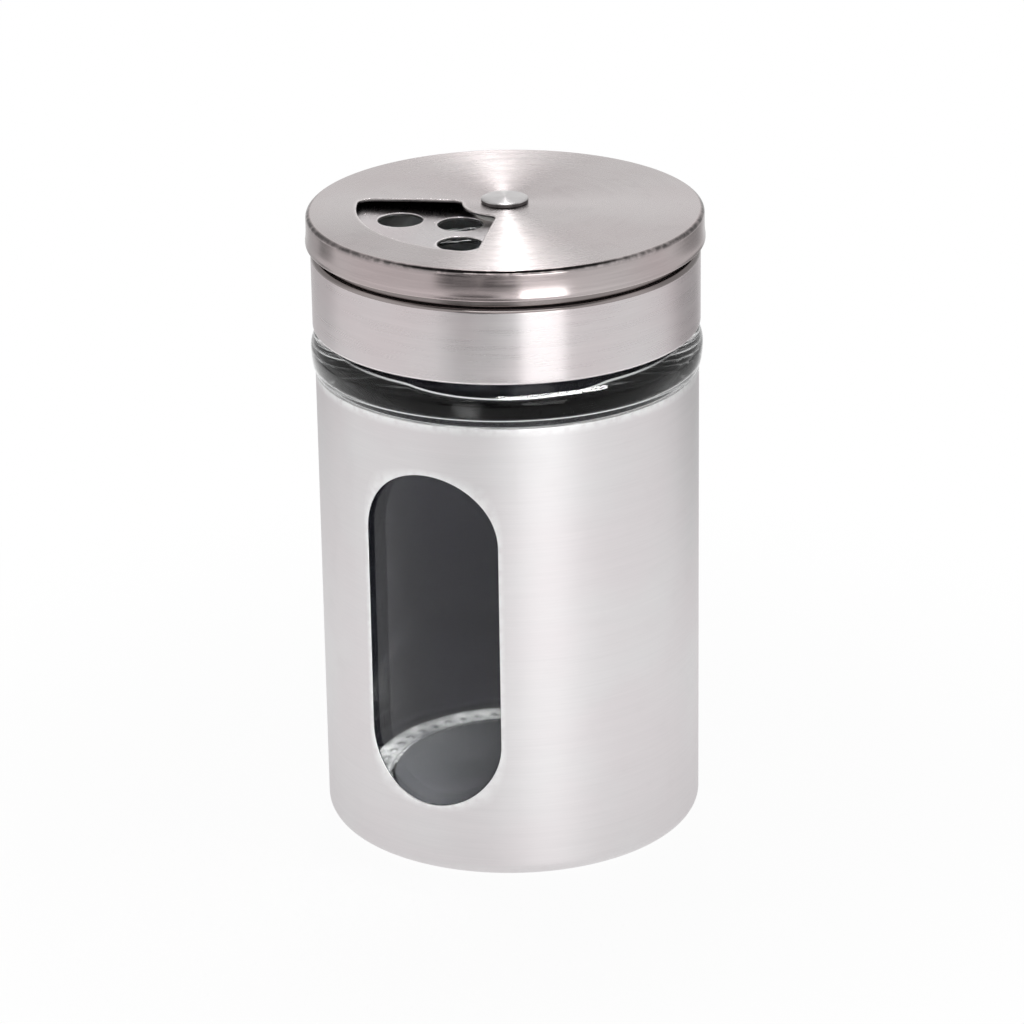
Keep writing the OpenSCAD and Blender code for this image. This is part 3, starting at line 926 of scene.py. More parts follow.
@dataclass(frozen=True)
class Dial:
    """Crowned cover with a rolled-down, flared edge and one window.

    Attributes:
        lip_r: Outer radius of the lip.
        radius: Outer radius above the flare.
        sheet: Thickness of the sheet.
        lip_z: Height of the lip's lower edge.
        flare_z: Height at which the flare starts.
        face: Height of the face at its edge, the rounding there and the height of the crown.
        hub: Radius of the hole round the rivet.
        window: Inner radius, outer radius, span, corner radius and direction of the window.
        block: How far the patch round the window reaches past it: inwards, outwards and in degrees.
        punched: Radius to which the window's edge is rounded.
        lip_round: Rounding of the lip's lower edges.
        columns: Steps round the axis.
    """

    lip_r: float = 25.4
    radius: float = 25.28
    sheet: float = 0.4
    lip_z: float = 78.4
    flare_z: float = 79.6
    face: tuple[float, float, float] = (82.3, 0.6, 0.75)
    hub: float = 1.65
    window: tuple[float, float, float, float, float] = (5.4, 18.8, 90.0, 1.4, 239.2)
    block: tuple[float, float, float] = (1.2, 1.0, 5.0)
    punched: float = 0.12
    lip_round: float = 0.09
    columns: int = 480

    def crown(self, radius: Array) -> Array:
        """Height of the outside: face + crown * (1 - (r / flat)^2)."""
        face, edge, rise = self.face
        return face + rise * (1 - (radius / (self.radius - edge)) ** 2)

    def build(self, shown: bpy.types.Material, hidden: bpy.types.Material,
              drawn: bpy.types.Material) -> bpy.types.Object:
        """Makes the dial.

        Its face is the crown's parabola, and its edge widens from the radius to the lip with the fourth
        power of the share of the way down. The profile is turned, and the window is punched through it.

        Args:
            shown: Finish of the face.
            hidden: Finish of the underside, darkened as painted shade.
            drawn: Finish of the edge and the lip.

        Returns:
            The dial.
        """
        face_z, edge, _ = self.face
        flat = self.radius - edge
        rim = (flat, face_z - edge)
        soft, edge_steps = self.lip_round, 16
        rise = np.linspace(1, 0, 13)
        lip_top = self.lip_z + self.sheet
        radii = line((flat, 0), (self.hub, 0), 0.45, 0.1)[:, 0]
        face = np.column_stack([radii, self.crown(radii)])
        edge_side = joined(
            arc(rim, edge - self.sheet, 90, 0, 6),
            line((self.radius - self.sheet, rim[1]), (self.radius - self.sheet, self.flare_z), 0.8),
            line((self.radius - self.sheet, self.flare_z), (self.lip_r - self.sheet, self.lip_z + soft),
                 0.5),
            arc((self.lip_r - self.sheet + soft, self.lip_z + soft), soft, 180, 270, 4),
            arc((self.lip_r - soft, self.lip_z + soft), soft, 270, 360, 4),
            line((self.lip_r, self.lip_z + soft), (self.lip_r, lip_top), 0.3, 0.05),
            np.column_stack([self.radius + (self.lip_r - self.radius) * rise ** 4,
                             rim[1] + (lip_top - rim[1]) * rise]),
            arc(rim, edge, 0, 90, edge_steps),
        )
        drop = (0, self.sheet)
        profile = np.concatenate([face[::-1] - drop, edge_side[1:-1], face, face[-1:] - drop])
        first = len(face) + len(edge_side) - 2
        inner_rows, lip_rows = 10, slice(len(face) + 12, len(face) + 20)
        looks = np.zeros(len(profile) - 1, int)
        looks[:len(face) + inner_rows] = Side.HIDDEN.value
        looks[len(face) + inner_rows:first] = Side.EDGE.value
        # The edge mask darkens the lip and the rounding at the face's edge under the drawn finish: a painted
        # shade line.
        wear_and_painted_light = np.zeros(len(profile))
        wear_and_painted_light[lip_rows] = 0.5
        wear_and_painted_light[first - edge_steps:first + 1] = np.sin(np.radians(np.linspace(170, 0, edge_steps + 1)))

        def lift(points: Array, depth: float) -> Array:
            """Puts (x, y) at a depth under the crown."""
            height = self.crown(np.hypot(points[:, 0], points[:, 1])) - depth
            return np.column_stack([points, height])

        turned = Turned(profile, self.columns, looks, wear_and_painted_light)
        sheet = Sheet(first + np.arange(len(face)), np.arange(len(face))[::-1], radii, self.sheet,
                      drop_height, lift)
        inner, outer, span, corner, direction = self.window
        inward, outward, spread = self.block
        window = Cutout(sector_outline(inner, outer, span, corner, direction),
                        (inner - inward, outer + outward), direction, span / 2 + spread, self.punched)
        shell = Shell("dial_body")
        turned.punch(shell, sheet, window)
        turned.finish(shell)
        return shell.build((shown, hidden, drawn))


@dataclass(frozen=True)
class Rivet:
    """Shouldered rivet with a domed head and a flattened end.

    Attributes:
        head: Radius, underside height, height of the straight side, height of the dome and edge rounding.
        shoulder: Radius of the shoulder that the dial turns on.
        shank: Radius of the shank.
        plate: Height of the plate's top and underside.
        button: Radius and height of the flattened end.
        columns: Steps round the axis.
    """

    head: tuple[float, float, float, float, float] = (3.0, 83.1, 0.45, 0.3, 0.12)
    shoulder: float = 1.6
    shank: float = 1.2
    plate: tuple[float, float] = (81.6, 81.2)
    button: tuple[float, float] = (2.3, 0.7)
    columns: int = 144

    def build(self, shown: bpy.types.Material, hidden: bpy.types.Material) -> bpy.types.Object:
        """Makes the rivet.

        Its profile runs from the axis over the flattened end, up shank and shoulder, and round the head,
        whose dome is a quarter of an ellipse. It is turned round the axis.

        Args:
            shown: Finish of the domed head.
            hidden: Finish of its side and of all below it, darkened as painted shade.

        Returns:
            The rivet.
        """
        radius, under, side, dome, soft = self.head
        top, below = self.plate
        button_r, button_h = self.button
        corner = button_r - button_h / 2
        dome_steps = 28
        profile = joined(
            line((0, below - button_h), (corner, below - button_h), 0.5),
            arc((corner, below), (button_h / 2, button_h), -90, 0, 10),
            line((button_r, below), (self.shank, below), 0.6),
            line((self.shank, below), (self.shank, top), 0.4),
            line((self.shank, top), (self.shoulder, top), 0.4),
            line((self.shoulder, top), (self.shoulder, under), 0.5),
            line((self.shoulder, under), (radius - soft, under), 0.6),
            arc((radius - soft, under + soft), soft, -90, 0, 8),
            line((radius, under + soft), (radius, under + side), 0.2, 0.03),
            arc((0, under + side), (radius, dome), 0, 90, dome_steps),
        )
        wear_and_painted_light = np.zeros(len(profile))
        wear_and_painted_light[-dome_steps - 2:-dome_steps + 8] = 1.0
        shell = Shell("rivet_body")
        looks = np.full(len(profile) - 1, Side.HIDDEN.value)
        looks[-dome_steps:] = Side.SHOWN.value
        Turned(profile, self.columns, looks, wear_and_painted_light).finish(shell)
        return shell.build((shown, hidden))


class Graph:
    """A node tree with short ways to add to it."""

    def __init__(self, tree: bpy.types.NodeTree) -> None:
        """Starts on a tree."""
        self.tree = tree

    def add(self, kind: str, feeds: dict[str | int, Feed] | None = None,
            **settings: object) -> bpy.types.Node:
        """Adds a node.

        Args:
            kind: Its type, without the words ShaderNode in front.
            feeds: A socket to link or a value to set, by the name or number of the input.
            settings: Properties of the node.

        Returns:
            The node.
        """
        node = self.tree.nodes.new("ShaderNode" + kind)
        for name, value in settings.items():
            setattr(node, name, value)
        for key, feed in (feeds or {}).items():
            if isinstance(feed, bpy.types.NodeSocket):
                self.tree.links.new(feed, node.inputs[key])
            elif isinstance(feed, tuple) and node.inputs[key].type == "RGBA" and len(feed) == 3:
                node.inputs[key].default_value = (*feed, 1.0)
            else:
                node.inputs[key].default_value = feed
        return node

    def math(self, operation: str, *feeds: Feed, clamp: bool = False) -> bpy.types.NodeSocket:
        """Adds a Math node and gives its result."""
        return self.add("Math", dict(enumerate(feeds)), operation=operation, use_clamp=clamp).outputs[0]

    def step(self, value: Feed, low: float, high: float, out_low: float = 0.0,
             out_high: float = 1.0) -> bpy.types.NodeSocket:
        """Adds a smooth step between two limits.

        Args:
            value: What is stepped.
            low: Lower limit.
            high: Upper limit.
            out_low: Result at the lower limit.
            out_high: Result at the upper limit.

        Returns:
            The result.
        """
        node = self.add("MapRange", {"Value": value, "From Min": low, "From Max": high, "To Min": out_low,
                                     "To Max": out_high}, interpolation_type="SMOOTHSTEP")
        return node.outputs[0]

    def blend(self, share: Feed, first: Feed, second: Feed, kind: str = "MIX") -> bpy.types.NodeSocket:
        """Blends two colours."""
        node = self.add("Mix", {0: share, 6: first, 7: second}, data_type="RGBA", blend_type=kind)
        return node.outputs[2]

    def shaded(self, colour: Feed, shade: Feed) -> bpy.types.NodeSocket:
        """Multiplies a colour by a tone."""
        grey = self.add("CombineColor", {0: shade, 1: shade, 2: shade}).outputs[0]
        return self.blend(1.0, colour, grey, "MULTIPLY")

    def place(self) -> bpy.types.NodeSocket:
        """Gives the object coordinates of the shaded point."""
        return self.add("TexCoord").outputs["Object"]

    def bump(self, height: Feed, strength: float, depth: float) -> bpy.types.NodeSocket:
        """Gives the normal over a relief, whose depth is in millimetres."""
        return self.add("Bump", {"Height": height, "Strength": strength, "Distance": depth * MM}).outputs[0]

    def metal(self, colour: Feed, rough: Feed, normal: Feed, brushed: float) -> bpy.types.NodeSocket:
        """Adds a metal shader with grooves that run round the axis.

        Args:
            colour: Colour of the metal.
            rough: Its roughness.
            normal: Its normal.
            brushed: Anisotropy, with the wide direction across the grooves.

        Returns:
            The shader's output.
        """
        tangent = self.add("Tangent", direction_type="RADIAL", axis="Z").outputs[0]
        return self.add("BsdfPrincipled", {
            "Base Color": colour, "Roughness": rough, "Metallic": 1.0, "Normal": normal,
            "Anisotropic": brushed, "Anisotropic Rotation": QUARTER_TURN, "Tangent": tangent}).outputs[0]


class EffectKit:
    """The shared effects, each a node group that is built once."""

    def __init__(self) -> None:
        """Builds the groups."""
        self.turned = self._turned()
        self.edges = self._edges()
        self.handling = self._handling()
        self.specks = self._specks()

    @staticmethod
    def _group(name: str, inputs: dict[str, float],
               outputs: Sequence[str]) -> tuple[Graph, bpy.types.Node, bpy.types.Node]:
        """Starts a group with float sockets.

        Args:
            name: Name of the group.
            inputs: Default value of each input.
            outputs: Names of the outputs.

        Returns:
            The graph, the group's input node and its output node.
        """
        tree = bpy.data.node_groups.new(name, "ShaderNodeTree")
        for key, value in inputs.items():
            socket = tree.interface.new_socket(key, in_out="INPUT", socket_type="NodeSocketFloat")
            socket.default_value = value
        for key in outputs:
            tree.interface.new_socket(key, in_out="OUTPUT", socket_type="NodeSocketFloat")
        graph = Graph(tree)
        return graph, tree.nodes.new("NodeGroupInput"), tree.nodes.new("NodeGroupOutput")

    def _turned(self) -> bpy.types.NodeTree:
        """Brushing that runs round the axis.

        Four-dimensional noise on (x/r * Along, y/r * Along, z * Across, r * Across), so it changes fast
        across the grooves and slowly along them, on walls and faces alike.

        Returns:
            The group, with the outputs Grain and Streak.
        """
        graph, inlet, outlet = self._group("turned_grain", {"Along": 2.0, "Across": 6000.0, "Seed": 0.0},
                                           ("Grain", "Streak"))
        x, y, z = graph.add("SeparateXYZ", {0: graph.place()}).outputs
        radius = graph.math("SQRT", graph.math("ADD", graph.math("POWER", x, 2.0),
                                               graph.math("POWER", y, 2.0)))
        along = graph.math("DIVIDE", inlet.outputs["Along"], graph.math("MAXIMUM", radius, 1e-5))
        for share, key, detail in ((1.0, "Grain", 3.0), (0.16, "Streak", 2.0)):
            across = graph.math("MULTIPLY", inlet.outputs["Across"], share)
            spot = graph.add("CombineXYZ", {
                0: graph.math("MULTIPLY", x, along), 1: graph.math("MULTIPLY", y, along),
                2: graph.math("MULTIPLY", z, across)}).outputs[0]
            fourth = graph.math("ADD", graph.math("MULTIPLY", radius, across), inlet.outputs["Seed"])
            noise = graph.add("TexNoise", {"Vector": spot, "W": fourth, "Scale": 1.0, "Detail": detail,
                                           "Roughness": 0.6}, noise_dimensions="4D")
            graph.tree.links.new(graph.step(noise.outputs[0], 0.25, 0.75), outlet.inputs[key])
        return graph.tree

    def _edges(self) -> bpy.types.NodeTree:
        """Rubbing, painted highlights and painted shade: the piece's edge_marks_and_painted_light attribute,
        broken up by noise.

        Returns:
            The group, with the output Worn.
        """
        graph, inlet, outlet = self._group("edge_wear_and_painted_light", {"Scale": 900.0}, ("WearAndPaintedLight",))
        edge = graph.add("Attribute", attribute_name="edge_marks_and_painted_light").outputs["Fac"]
        noise = graph.add("TexNoise", {"Vector": graph.place(), "Scale": inlet.outputs["Scale"],
                                       "Detail": 4.0})
        broken = graph.step(noise.outputs[0], 0.3, 0.62, 0.35, 1.0)
        graph.tree.links.new(graph.math("MULTIPLY", edge, broken, clamp=True), outlet.inputs["WearAndPaintedLight"])
        return graph.tree

    def _handling(self) -> bpy.types.NodeTree:
        """Faint marks of handling: broad patches and small smudges of low-frequency noise.

        Returns:
            The group, with the outputs Patches and Smudges.
        """
        graph, inlet, outlet = self._group("handling", {"Scale": 60.0, "Seed": 0.0}, ("Patches", "Smudges"))
        shift = graph.add("CombineXYZ", {0: inlet.outputs["Seed"]}).outputs[0]
        spot = graph.add("VectorMath", {0: graph.place(), 1: shift}, operation="ADD").outputs[0]
        broad = graph.add("TexNoise", {"Vector": spot, "Scale": inlet.outputs["Scale"], "Detail": 2.0})
        fine = graph.math("MULTIPLY", inlet.outputs["Scale"], 5.0)
        small = graph.add("TexNoise", {"Vector": spot, "Scale": fine, "Detail": 5.0, "Distortion": 0.6})
        graph.tree.links.new(graph.step(broad.outputs[0], 0.3, 0.7), outlet.inputs["Patches"])
        graph.tree.links.new(graph.step(small.outputs[0], 0.52, 0.72), outlet.inputs["Smudges"])
        return graph.tree

    def _specks(self) -> bpy.types.NodeTree:
        """Fine specks: round spots about the points of a Voronoi pattern, on a share of its cells.

        Returns:
            The group, with the output Specks.
        """
        graph, inlet, outlet = self._group("specks", {"Scale": 700.0, "Size": 0.25, "Share": 0.3},
                                           ("Specks",))
        cells = graph.add("TexVoronoi", {"Vector": graph.place(), "Scale": inlet.outputs["Scale"]})
        near = graph.math("LESS_THAN", cells.outputs["Distance"], inlet.outputs["Size"])
        chosen = graph.add("SeparateXYZ", {0: cells.outputs["Color"]}).outputs[0]
        some = graph.math("LESS_THAN", chosen, inlet.outputs["Share"])
        graph.tree.links.new(graph.math("MULTIPLY", near, some), outlet.inputs["Specks"])
        return graph.tree


def new_material(name: str) -> tuple[bpy.types.Material, Graph, bpy.types.Node]:
    """Starts a material.

    Args:
        name: Name of the material.

    Returns:
        The material, its empty graph and its output node.
    """
    material = bpy.data.materials.new(name)
    material.use_nodes = True
    material.node_tree.nodes.clear()
    graph = Graph(material.node_tree)
    return material, graph, graph.add("OutputMaterial")


@dataclass(frozen=True)
class TurnedSteel:
    """Stainless steel with fine brushing round the axis.

    Attributes:
        name: Name of the material.
        base: Colour of the bare metal.
        tint: Colour that the broad patches lean to.
        rough: Middle roughness.
        brushed: Anisotropy, with the wide direction across the grooves.
        along: Length scale of the grooves along the turn.
        across: Number of grooves in a metre, roughly.
        streak: Share of the tone that the streaks change.
        relief: Depth of the grooves in millimetres.
        seed: Shift of the noise.
        wear_and_light: Brightness of marked edges, as a share of the bare metal's.
        brightest: Most that a marked edge's lightened colour may reach.
        swing: How much the grooves change the roughness.
        smudge: Roughness that smudges add.
        rubbed: Roughness that marked edges lose.
    """

    name: str
    base: Colour
    tint: Colour
    rough: float = 0.3
    brushed: float = 0.8
    along: float = 2.0
    across: float = 6000.0
    streak: float = 0.05
    relief: float = 0.002
    seed: float = 0.0
    wear_and_light: float = 1.3
    brightest: float = 0.95
    swing: float = 0.10
    smudge: float = 0.03
    rubbed: float = 0.08

    def material(self, kit: EffectKit) -> bpy.types.Material:
        """Builds the material.

        The tone is the mean of grain and streak. It shades the colour and moves the roughness. Smudges
        add roughness, and marked edges are smoother and take a share of the bare colour: a share above one is
        a painted highlight that also stands for rubbing, and a share below one is a painted dark line.

        Args:
            kit: The shared effects.

        Returns:
            The material.
        """
        material, graph, out = new_material(self.name)
        turned = graph.add("Group", {"Along": self.along, "Across": self.across, "Seed": self.seed},
                           node_tree=kit.turned).outputs
        marks = graph.add("Group", {"Seed": self.seed}, node_tree=kit.handling).outputs
        wear_and_light = graph.add("Group", node_tree=kit.edges).outputs["WearAndPaintedLight"]
        tone = graph.math("ADD", graph.math("MULTIPLY", turned["Grain"], 0.5),
                          graph.math("MULTIPLY", turned["Streak"], 0.5))
        shade = graph.math("MULTIPLY_ADD", tone, 2 * self.streak, 1 - self.streak)
        colour = graph.shaded(graph.blend(marks["Patches"], self.base, self.tint), shade)
        colour = graph.blend(wear_and_light, colour, tuple(min(self.brightest, c * self.wear_and_light) for c in self.base))
        rough = graph.math("MULTIPLY_ADD", tone, self.swing, self.rough - self.swing / 2)
        rough = graph.math("MULTIPLY_ADD", marks["Smudges"], self.smudge, rough)
        rough = graph.math("MULTIPLY_ADD", wear_and_light, -self.rubbed, rough, clamp=True)
        grooves = graph.bump(turned["Grain"], 0.25, self.relief)
        graph.tree.links.new(graph.metal(colour, rough, grooves, self.brushed), out.inputs[0])
        return material


@dataclass(frozen=True)
class PolishedSteel:
    """Smooth bright steel with faint turning lines.

    Attributes:
        name: Name of the material.
        base: Colour of the metal.
        rough: Least roughness.
        spun: Anisotropy, with the wide direction across the turning lines.
        lines: Number of turning lines in a metre, roughly.
        relief: Depth of the lines in millimetres.
        marks: Scale of the handling marks.
        tone: How far the streaks lift the tone, and its darkest value.
        smudge: Roughness that smudges add.
        rubbed: Roughness that marked edges add.
    """

    name: str
    base: Colour
    rough: float = 0.12
    spun: float = 0.0
    lines: float = 9000.0
    relief: float = 0.002
    marks: float = 300.0
    tone: tuple[float, float] = (0.06, 0.95)
    smudge: float = 0.06
    rubbed: float = 0.05

    def material(self, kit: EffectKit) -> bpy.types.Material:
        """Builds the material.

        The streaks shade the colour, smudges and marked edges add roughness, and the grain is the relief.

        Args:
            kit: The shared effects.

        Returns:
            The material.
        """
        material, graph, out = new_material(self.name)
        turned = graph.add("Group", {"Across": self.lines}, node_tree=kit.turned).outputs
        marks = graph.add("Group", {"Scale": self.marks}, node_tree=kit.handling).outputs
        wear_and_light = graph.add("Group", node_tree=kit.edges).outputs["WearAndPaintedLight"]
        colour = graph.shaded(self.base, graph.math("MULTIPLY_ADD", turned["Streak"], *self.tone))
        rough = graph.math("MULTIPLY_ADD", marks["Smudges"], self.smudge, self.rough)
        rough = graph.math("MULTIPLY_ADD", wear_and_light, self.rubbed, rough)
        lines = graph.bump(turned["Grain"], 0.15, self.relief)
        graph.tree.links.new(graph.metal(colour, rough, lines, self.spun), out.inputs[0])
        return material


@dataclass(frozen=True)
class ClearGlass:
    """Clear pressed glass that lets lamplight through to what is behind it.

    Its outer reflection is the coat's, which takes its light straight from the lamps.

    Attributes:
        name: Name of the material.
        tint: Colour of the light that passes through.
        gloss: Share of the glass's own reflection that is kept under the coat's.
        coat: Refractive index of the coat, which sets how much it reflects.
        index: Refractive index of the glass.
        rough: Roughness of the glass and its coat.
        smudge: Roughness that smudges add.
        cloud: Tint of the broad patches, as a share of the clear glass's.
        waves: Depth of the waves in the surface, in millimetres.
        marks: Scale of the waves and the handling marks.
    """

    name: str
    tint: Colour = (0.97, 0.98, 0.98)
    gloss: float = 0.05
    coat: float = 1.24
    index: float = 1.5
    rough: float = 0.05
    smudge: float = 0.02
    cloud: float = 0.985
    waves: float = 0.02
    marks: float = 45.0

    def material(self, kit: EffectKit) -> bpy.types.Material:
        """Builds the material.

        The patches cloud the tint and wave the surface, and smudges add roughness. A ray towards a lamp
        goes straight through, tinted.

        Args:
            kit: The shared effects.

        Returns:
            The material.
        """
        material, graph, out = new_material(self.name)
        marks = graph.add("Group", {"Scale": self.marks}, node_tree=kit.handling).outputs
        colour = graph.blend(marks["Patches"], self.tint, tuple(c * self.cloud for c in self.tint))
        glass = graph.add("BsdfPrincipled", {
            "Base Color": colour, "Metallic": 0.0, "Transmission Weight": 1.0, "IOR": self.index,
            "Roughness": graph.math("MULTIPLY_ADD", marks["Smudges"], self.smudge, self.rough),
            "Normal": graph.bump(marks["Patches"], 0.12, self.waves),
            "Specular Tint": (self.gloss, self.gloss, self.gloss), "Coat Weight": 1.0,
            "Coat IOR": self.coat, "Coat Roughness": self.rough})
        lamp = graph.add("LightPath").outputs["Is Shadow Ray"]
        through = graph.add("BsdfTransparent", {"Color": self.tint})
        mix = graph.add("MixShader", {0: lamp, 1: glass.outputs[0], 2: through.outputs[0]})
        graph.tree.links.new(mix.outputs[0], out.inputs[0])
        return material


@dataclass(frozen=True)
class Moulded:
    """A dull moulded or foamed material: even colour, mottling, fine grain and specks.

    Attributes:
        name: Name of the material.
        base: Its colour.
        second: Colour that it is mottled with.
        rough: Middle roughness.
        grain: Scale of the surface grain.
        relief: Depth of the grain in millimetres.
        speck: Share of the cells that carry a speck.
        edge: How far the second colour shows on marked edges.
        swing: How much the grain changes the roughness.
        smooth: Roughness that smudges take away.
        marks: Scale of the mottling and the handling marks.
    """

    name: str
    base: Colour
    second: Colour
    rough: float = 0.5
    grain: float = 2500.0
    relief: float = 0.02
    speck: float = 0.08
    edge: float = 0.3
    swing: float = 0.14
    smooth: float = 0.08
    marks: float = 110.0

    def material(self, kit: EffectKit) -> bpy.types.Material:
        """Builds the material.

        Patches, specks and marked edges mix the two colours, and one noise is relief and roughness. On the
        jar's frosted ring the marks darken the recesses as painted shade.

        Args:
            kit: The shared effects.

        Returns:
            The material.
        """
        material, graph, out = new_material(self.name)
        marks = graph.add("Group", {"Scale": self.marks}, node_tree=kit.handling).outputs
        specks = graph.add("Group", {"Share": self.speck}, node_tree=kit.specks).outputs[0]
        wear_and_light = graph.add("Group", node_tree=kit.edges).outputs["WearAndPaintedLight"]
        noise = graph.add("TexNoise", {"Vector": graph.place(), "Scale": self.grain,
                                       "Detail": 4.0}).outputs[0]
        colour = graph.blend(marks["Patches"], self.base, self.second)
        colour = graph.blend(graph.math("MULTIPLY", specks, 0.35), colour, self.second)
        colour = graph.blend(graph.math("MULTIPLY", wear_and_light, self.edge), colour, self.second)
        rough = graph.math("MULTIPLY_ADD", noise, self.swing, self.rough - self.swing / 2)
        rough = graph.math("MULTIPLY_ADD", marks["Smudges"], -self.smooth, rough, clamp=True)
        solid = graph.add("BsdfPrincipled", {"Base Color": colour, "Roughness": rough, "Metallic": 0.0,
                                             "Normal": graph.bump(noise, 0.5, self.relief)})
        graph.tree.links.new(solid.outputs[0], out.inputs[0])
        return material


@dataclass(frozen=True)
class Lamp:
    """A soft rectangular lamp that faces the object.

    Attributes:
        name: Name of the lamp.
        azimuth: Its azimuth from the camera.
        elevation: Its elevation.
        size: Width and height in metres.
        glow: Brightness of its face, where the white floor is 1.
        distance: Distance from the object in metres.
        jar_only: Whether it lights the jar and its pad alone.
    """

    name: str
    azimuth: float
    elevation: float
    size: tuple[float, float]
    glow: float
    distance: float = 0.9
    jar_only: bool = False


@dataclass(frozen=True)
class Studio:
    """Camera, floor, world and lamps. Azimuths count from the camera, to its right as it looks.

    Attributes:
        turn: Turn of the camera from the front of the window, in degrees.
        pitch: Its elevation.
        roll: Its roll.
        distance: Its distance from the aim, in millimetres.
        shift: Offset of the aim to the right and up, in millimetres.
        middle: Height of the aim.
        lens: Its focal length, in millimetres.
        floor_tone: Tone of the floor's own lit surface.
        floor_plain: Distances from the axis, in metres, between which the plain white comes up, and its
            share at the first.
        floor_near: The same for the darker ring round the object, and its tone at the first.
        floor_far: The same for the fall-off further out, and its tone at the second.
        shades: Darker spots of the floor that only reflections show: azimuth, distance, inner radius,
            outer radius (in metres) and what is left of the white.
        surround: Brightness of the world.
        patches: Softer patches of the world: azimuth, elevation, inner radius and outer radius in
            degrees, and brightness.
        lamps: The lamps.
    """

    turn: float = 25.2
    pitch: float = 21.878
    roll: float = -0.899
    distance: float = 561.63
    shift: tuple[float, float] = (0.301, -0.266)
    middle: float = 41.025
    lens: float = 151.685
    floor_tone: float = 0.86
    floor_plain: tuple[float, float, float] = (0.03, 0.12, 0.95)
    floor_near: tuple[float, float, float] = (0.024, 0.07, 0.82)
    floor_far: tuple[float, float, float] = (0.1, 0.28, 0.7)
    shades: tuple[tuple[float, float, float, float, float], ...] = (
        (-6, 0.29, 0.05, 0.08, 0.03), (-26, 0.29, 0.05, 0.08, 0.03), (132, 0.22, 0.04, 0.13, 0.45),
        (-138, 0.26, 0.04, 0.12, 0.7), (-121, 0.265, 0.02, 0.06, 0.5))
    surround: float = 0.90
    patches: tuple[tuple[float, float, float, float, float], ...] = (
        (0, 74, 32, 57, 0.06), (-18, -4, 6, 18, 0.05), (-138, 20, 14, 40, 0.45), (130, 12, 14, 46, 0.48))
    lamps: tuple[Lamp, ...] = (
        Lamp("back_strip", 178, 60, (0.02, 0.42), 28.0),
        Lamp("back_wide", 178, 60, (0.22, 0.42), 2.2),
        Lamp("front_low", 20, 0, (0.15, 0.10), 2.8, distance=0.35),
        Lamp("front_high", 4, 34, (0.8, 0.25), 1.8),
        Lamp("jar_lamp", 29, 36, (1.0, 0.33), 60.0, jar_only=True))

    def toward(self, azimuth: float, elevation: float) -> Array:
        """Direction of unit length at an azimuth from the camera and an elevation."""
        turn, lift = np.radians(self.turn + azimuth), np.radians(elevation)
        return np.array([np.sin(turn) * np.cos(lift), -np.cos(turn) * np.cos(lift), np.sin(lift)])

    def camera(self) -> None:
        """Places the camera: back from the aim along its view, then rolled."""
        back = self.toward(0, self.pitch)
        right = self.toward(90, 0)
        above = np.cross(back, right)
        roll = np.radians(self.roll)
        rolled = np.cos(roll) * right + np.sin(roll) * above
        upward = np.cos(roll) * above - np.sin(roll) * right
        place = (0, 0, self.middle) + right * self.shift[0] + above * self.shift[1] + back * self.distance
        data = bpy.data.cameras.new("studio_camera")
        data.lens, data.sensor_width = self.lens, SENSOR
        data.clip_start, data.clip_end = 0.01, 20.0
        camera = bpy.data.objects.new("studio_camera", data)
        camera.matrix_world = Matrix(np.vstack([np.column_stack([rolled, upward, back, place * MM]),
                                                [0, 0, 0, 1]]).tolist())
        bpy.context.scene.collection.objects.link(camera)
        bpy.context.scene.camera = camera

    def light(self, lamp: Lamp) -> None:
        """Places a lamp: back from the object along its direction, and turned to face it.

        Its power is glow * pi * width * height.

        Args:
            lamp: The lamp.
        """
        data = bpy.data.lights.new(lamp.name, "AREA")
        data.shape, data.size, data.size_y = "RECTANGLE", *lamp.size
        data.energy = lamp.glow * np.pi * lamp.size[0] * lamp.size[1]
        placed = bpy.data.objects.new(lamp.name, data)
        away, aim = Vector(self.toward(lamp.azimuth, lamp.elevation).tolist()), Vector((0, 0, 0.05))
        placed.location = away * lamp.distance + aim
        placed.rotation_euler = away.to_track_quat("Z", "Y").to_euler()
        bpy.context.scene.collection.objects.link(placed)
        if lamp.jar_only:
            placed.visible_transmission = False
            placed.light_linking.receiver_collection = self.jar_takes()

    @staticmethod
    def jar_takes() -> bpy.types.Collection:
        """Collection of the objects that the jar's own lamp lights."""
        name = "jar_lamps_take"
        return bpy.data.collections.get(name) or bpy.data.collections.new(name)

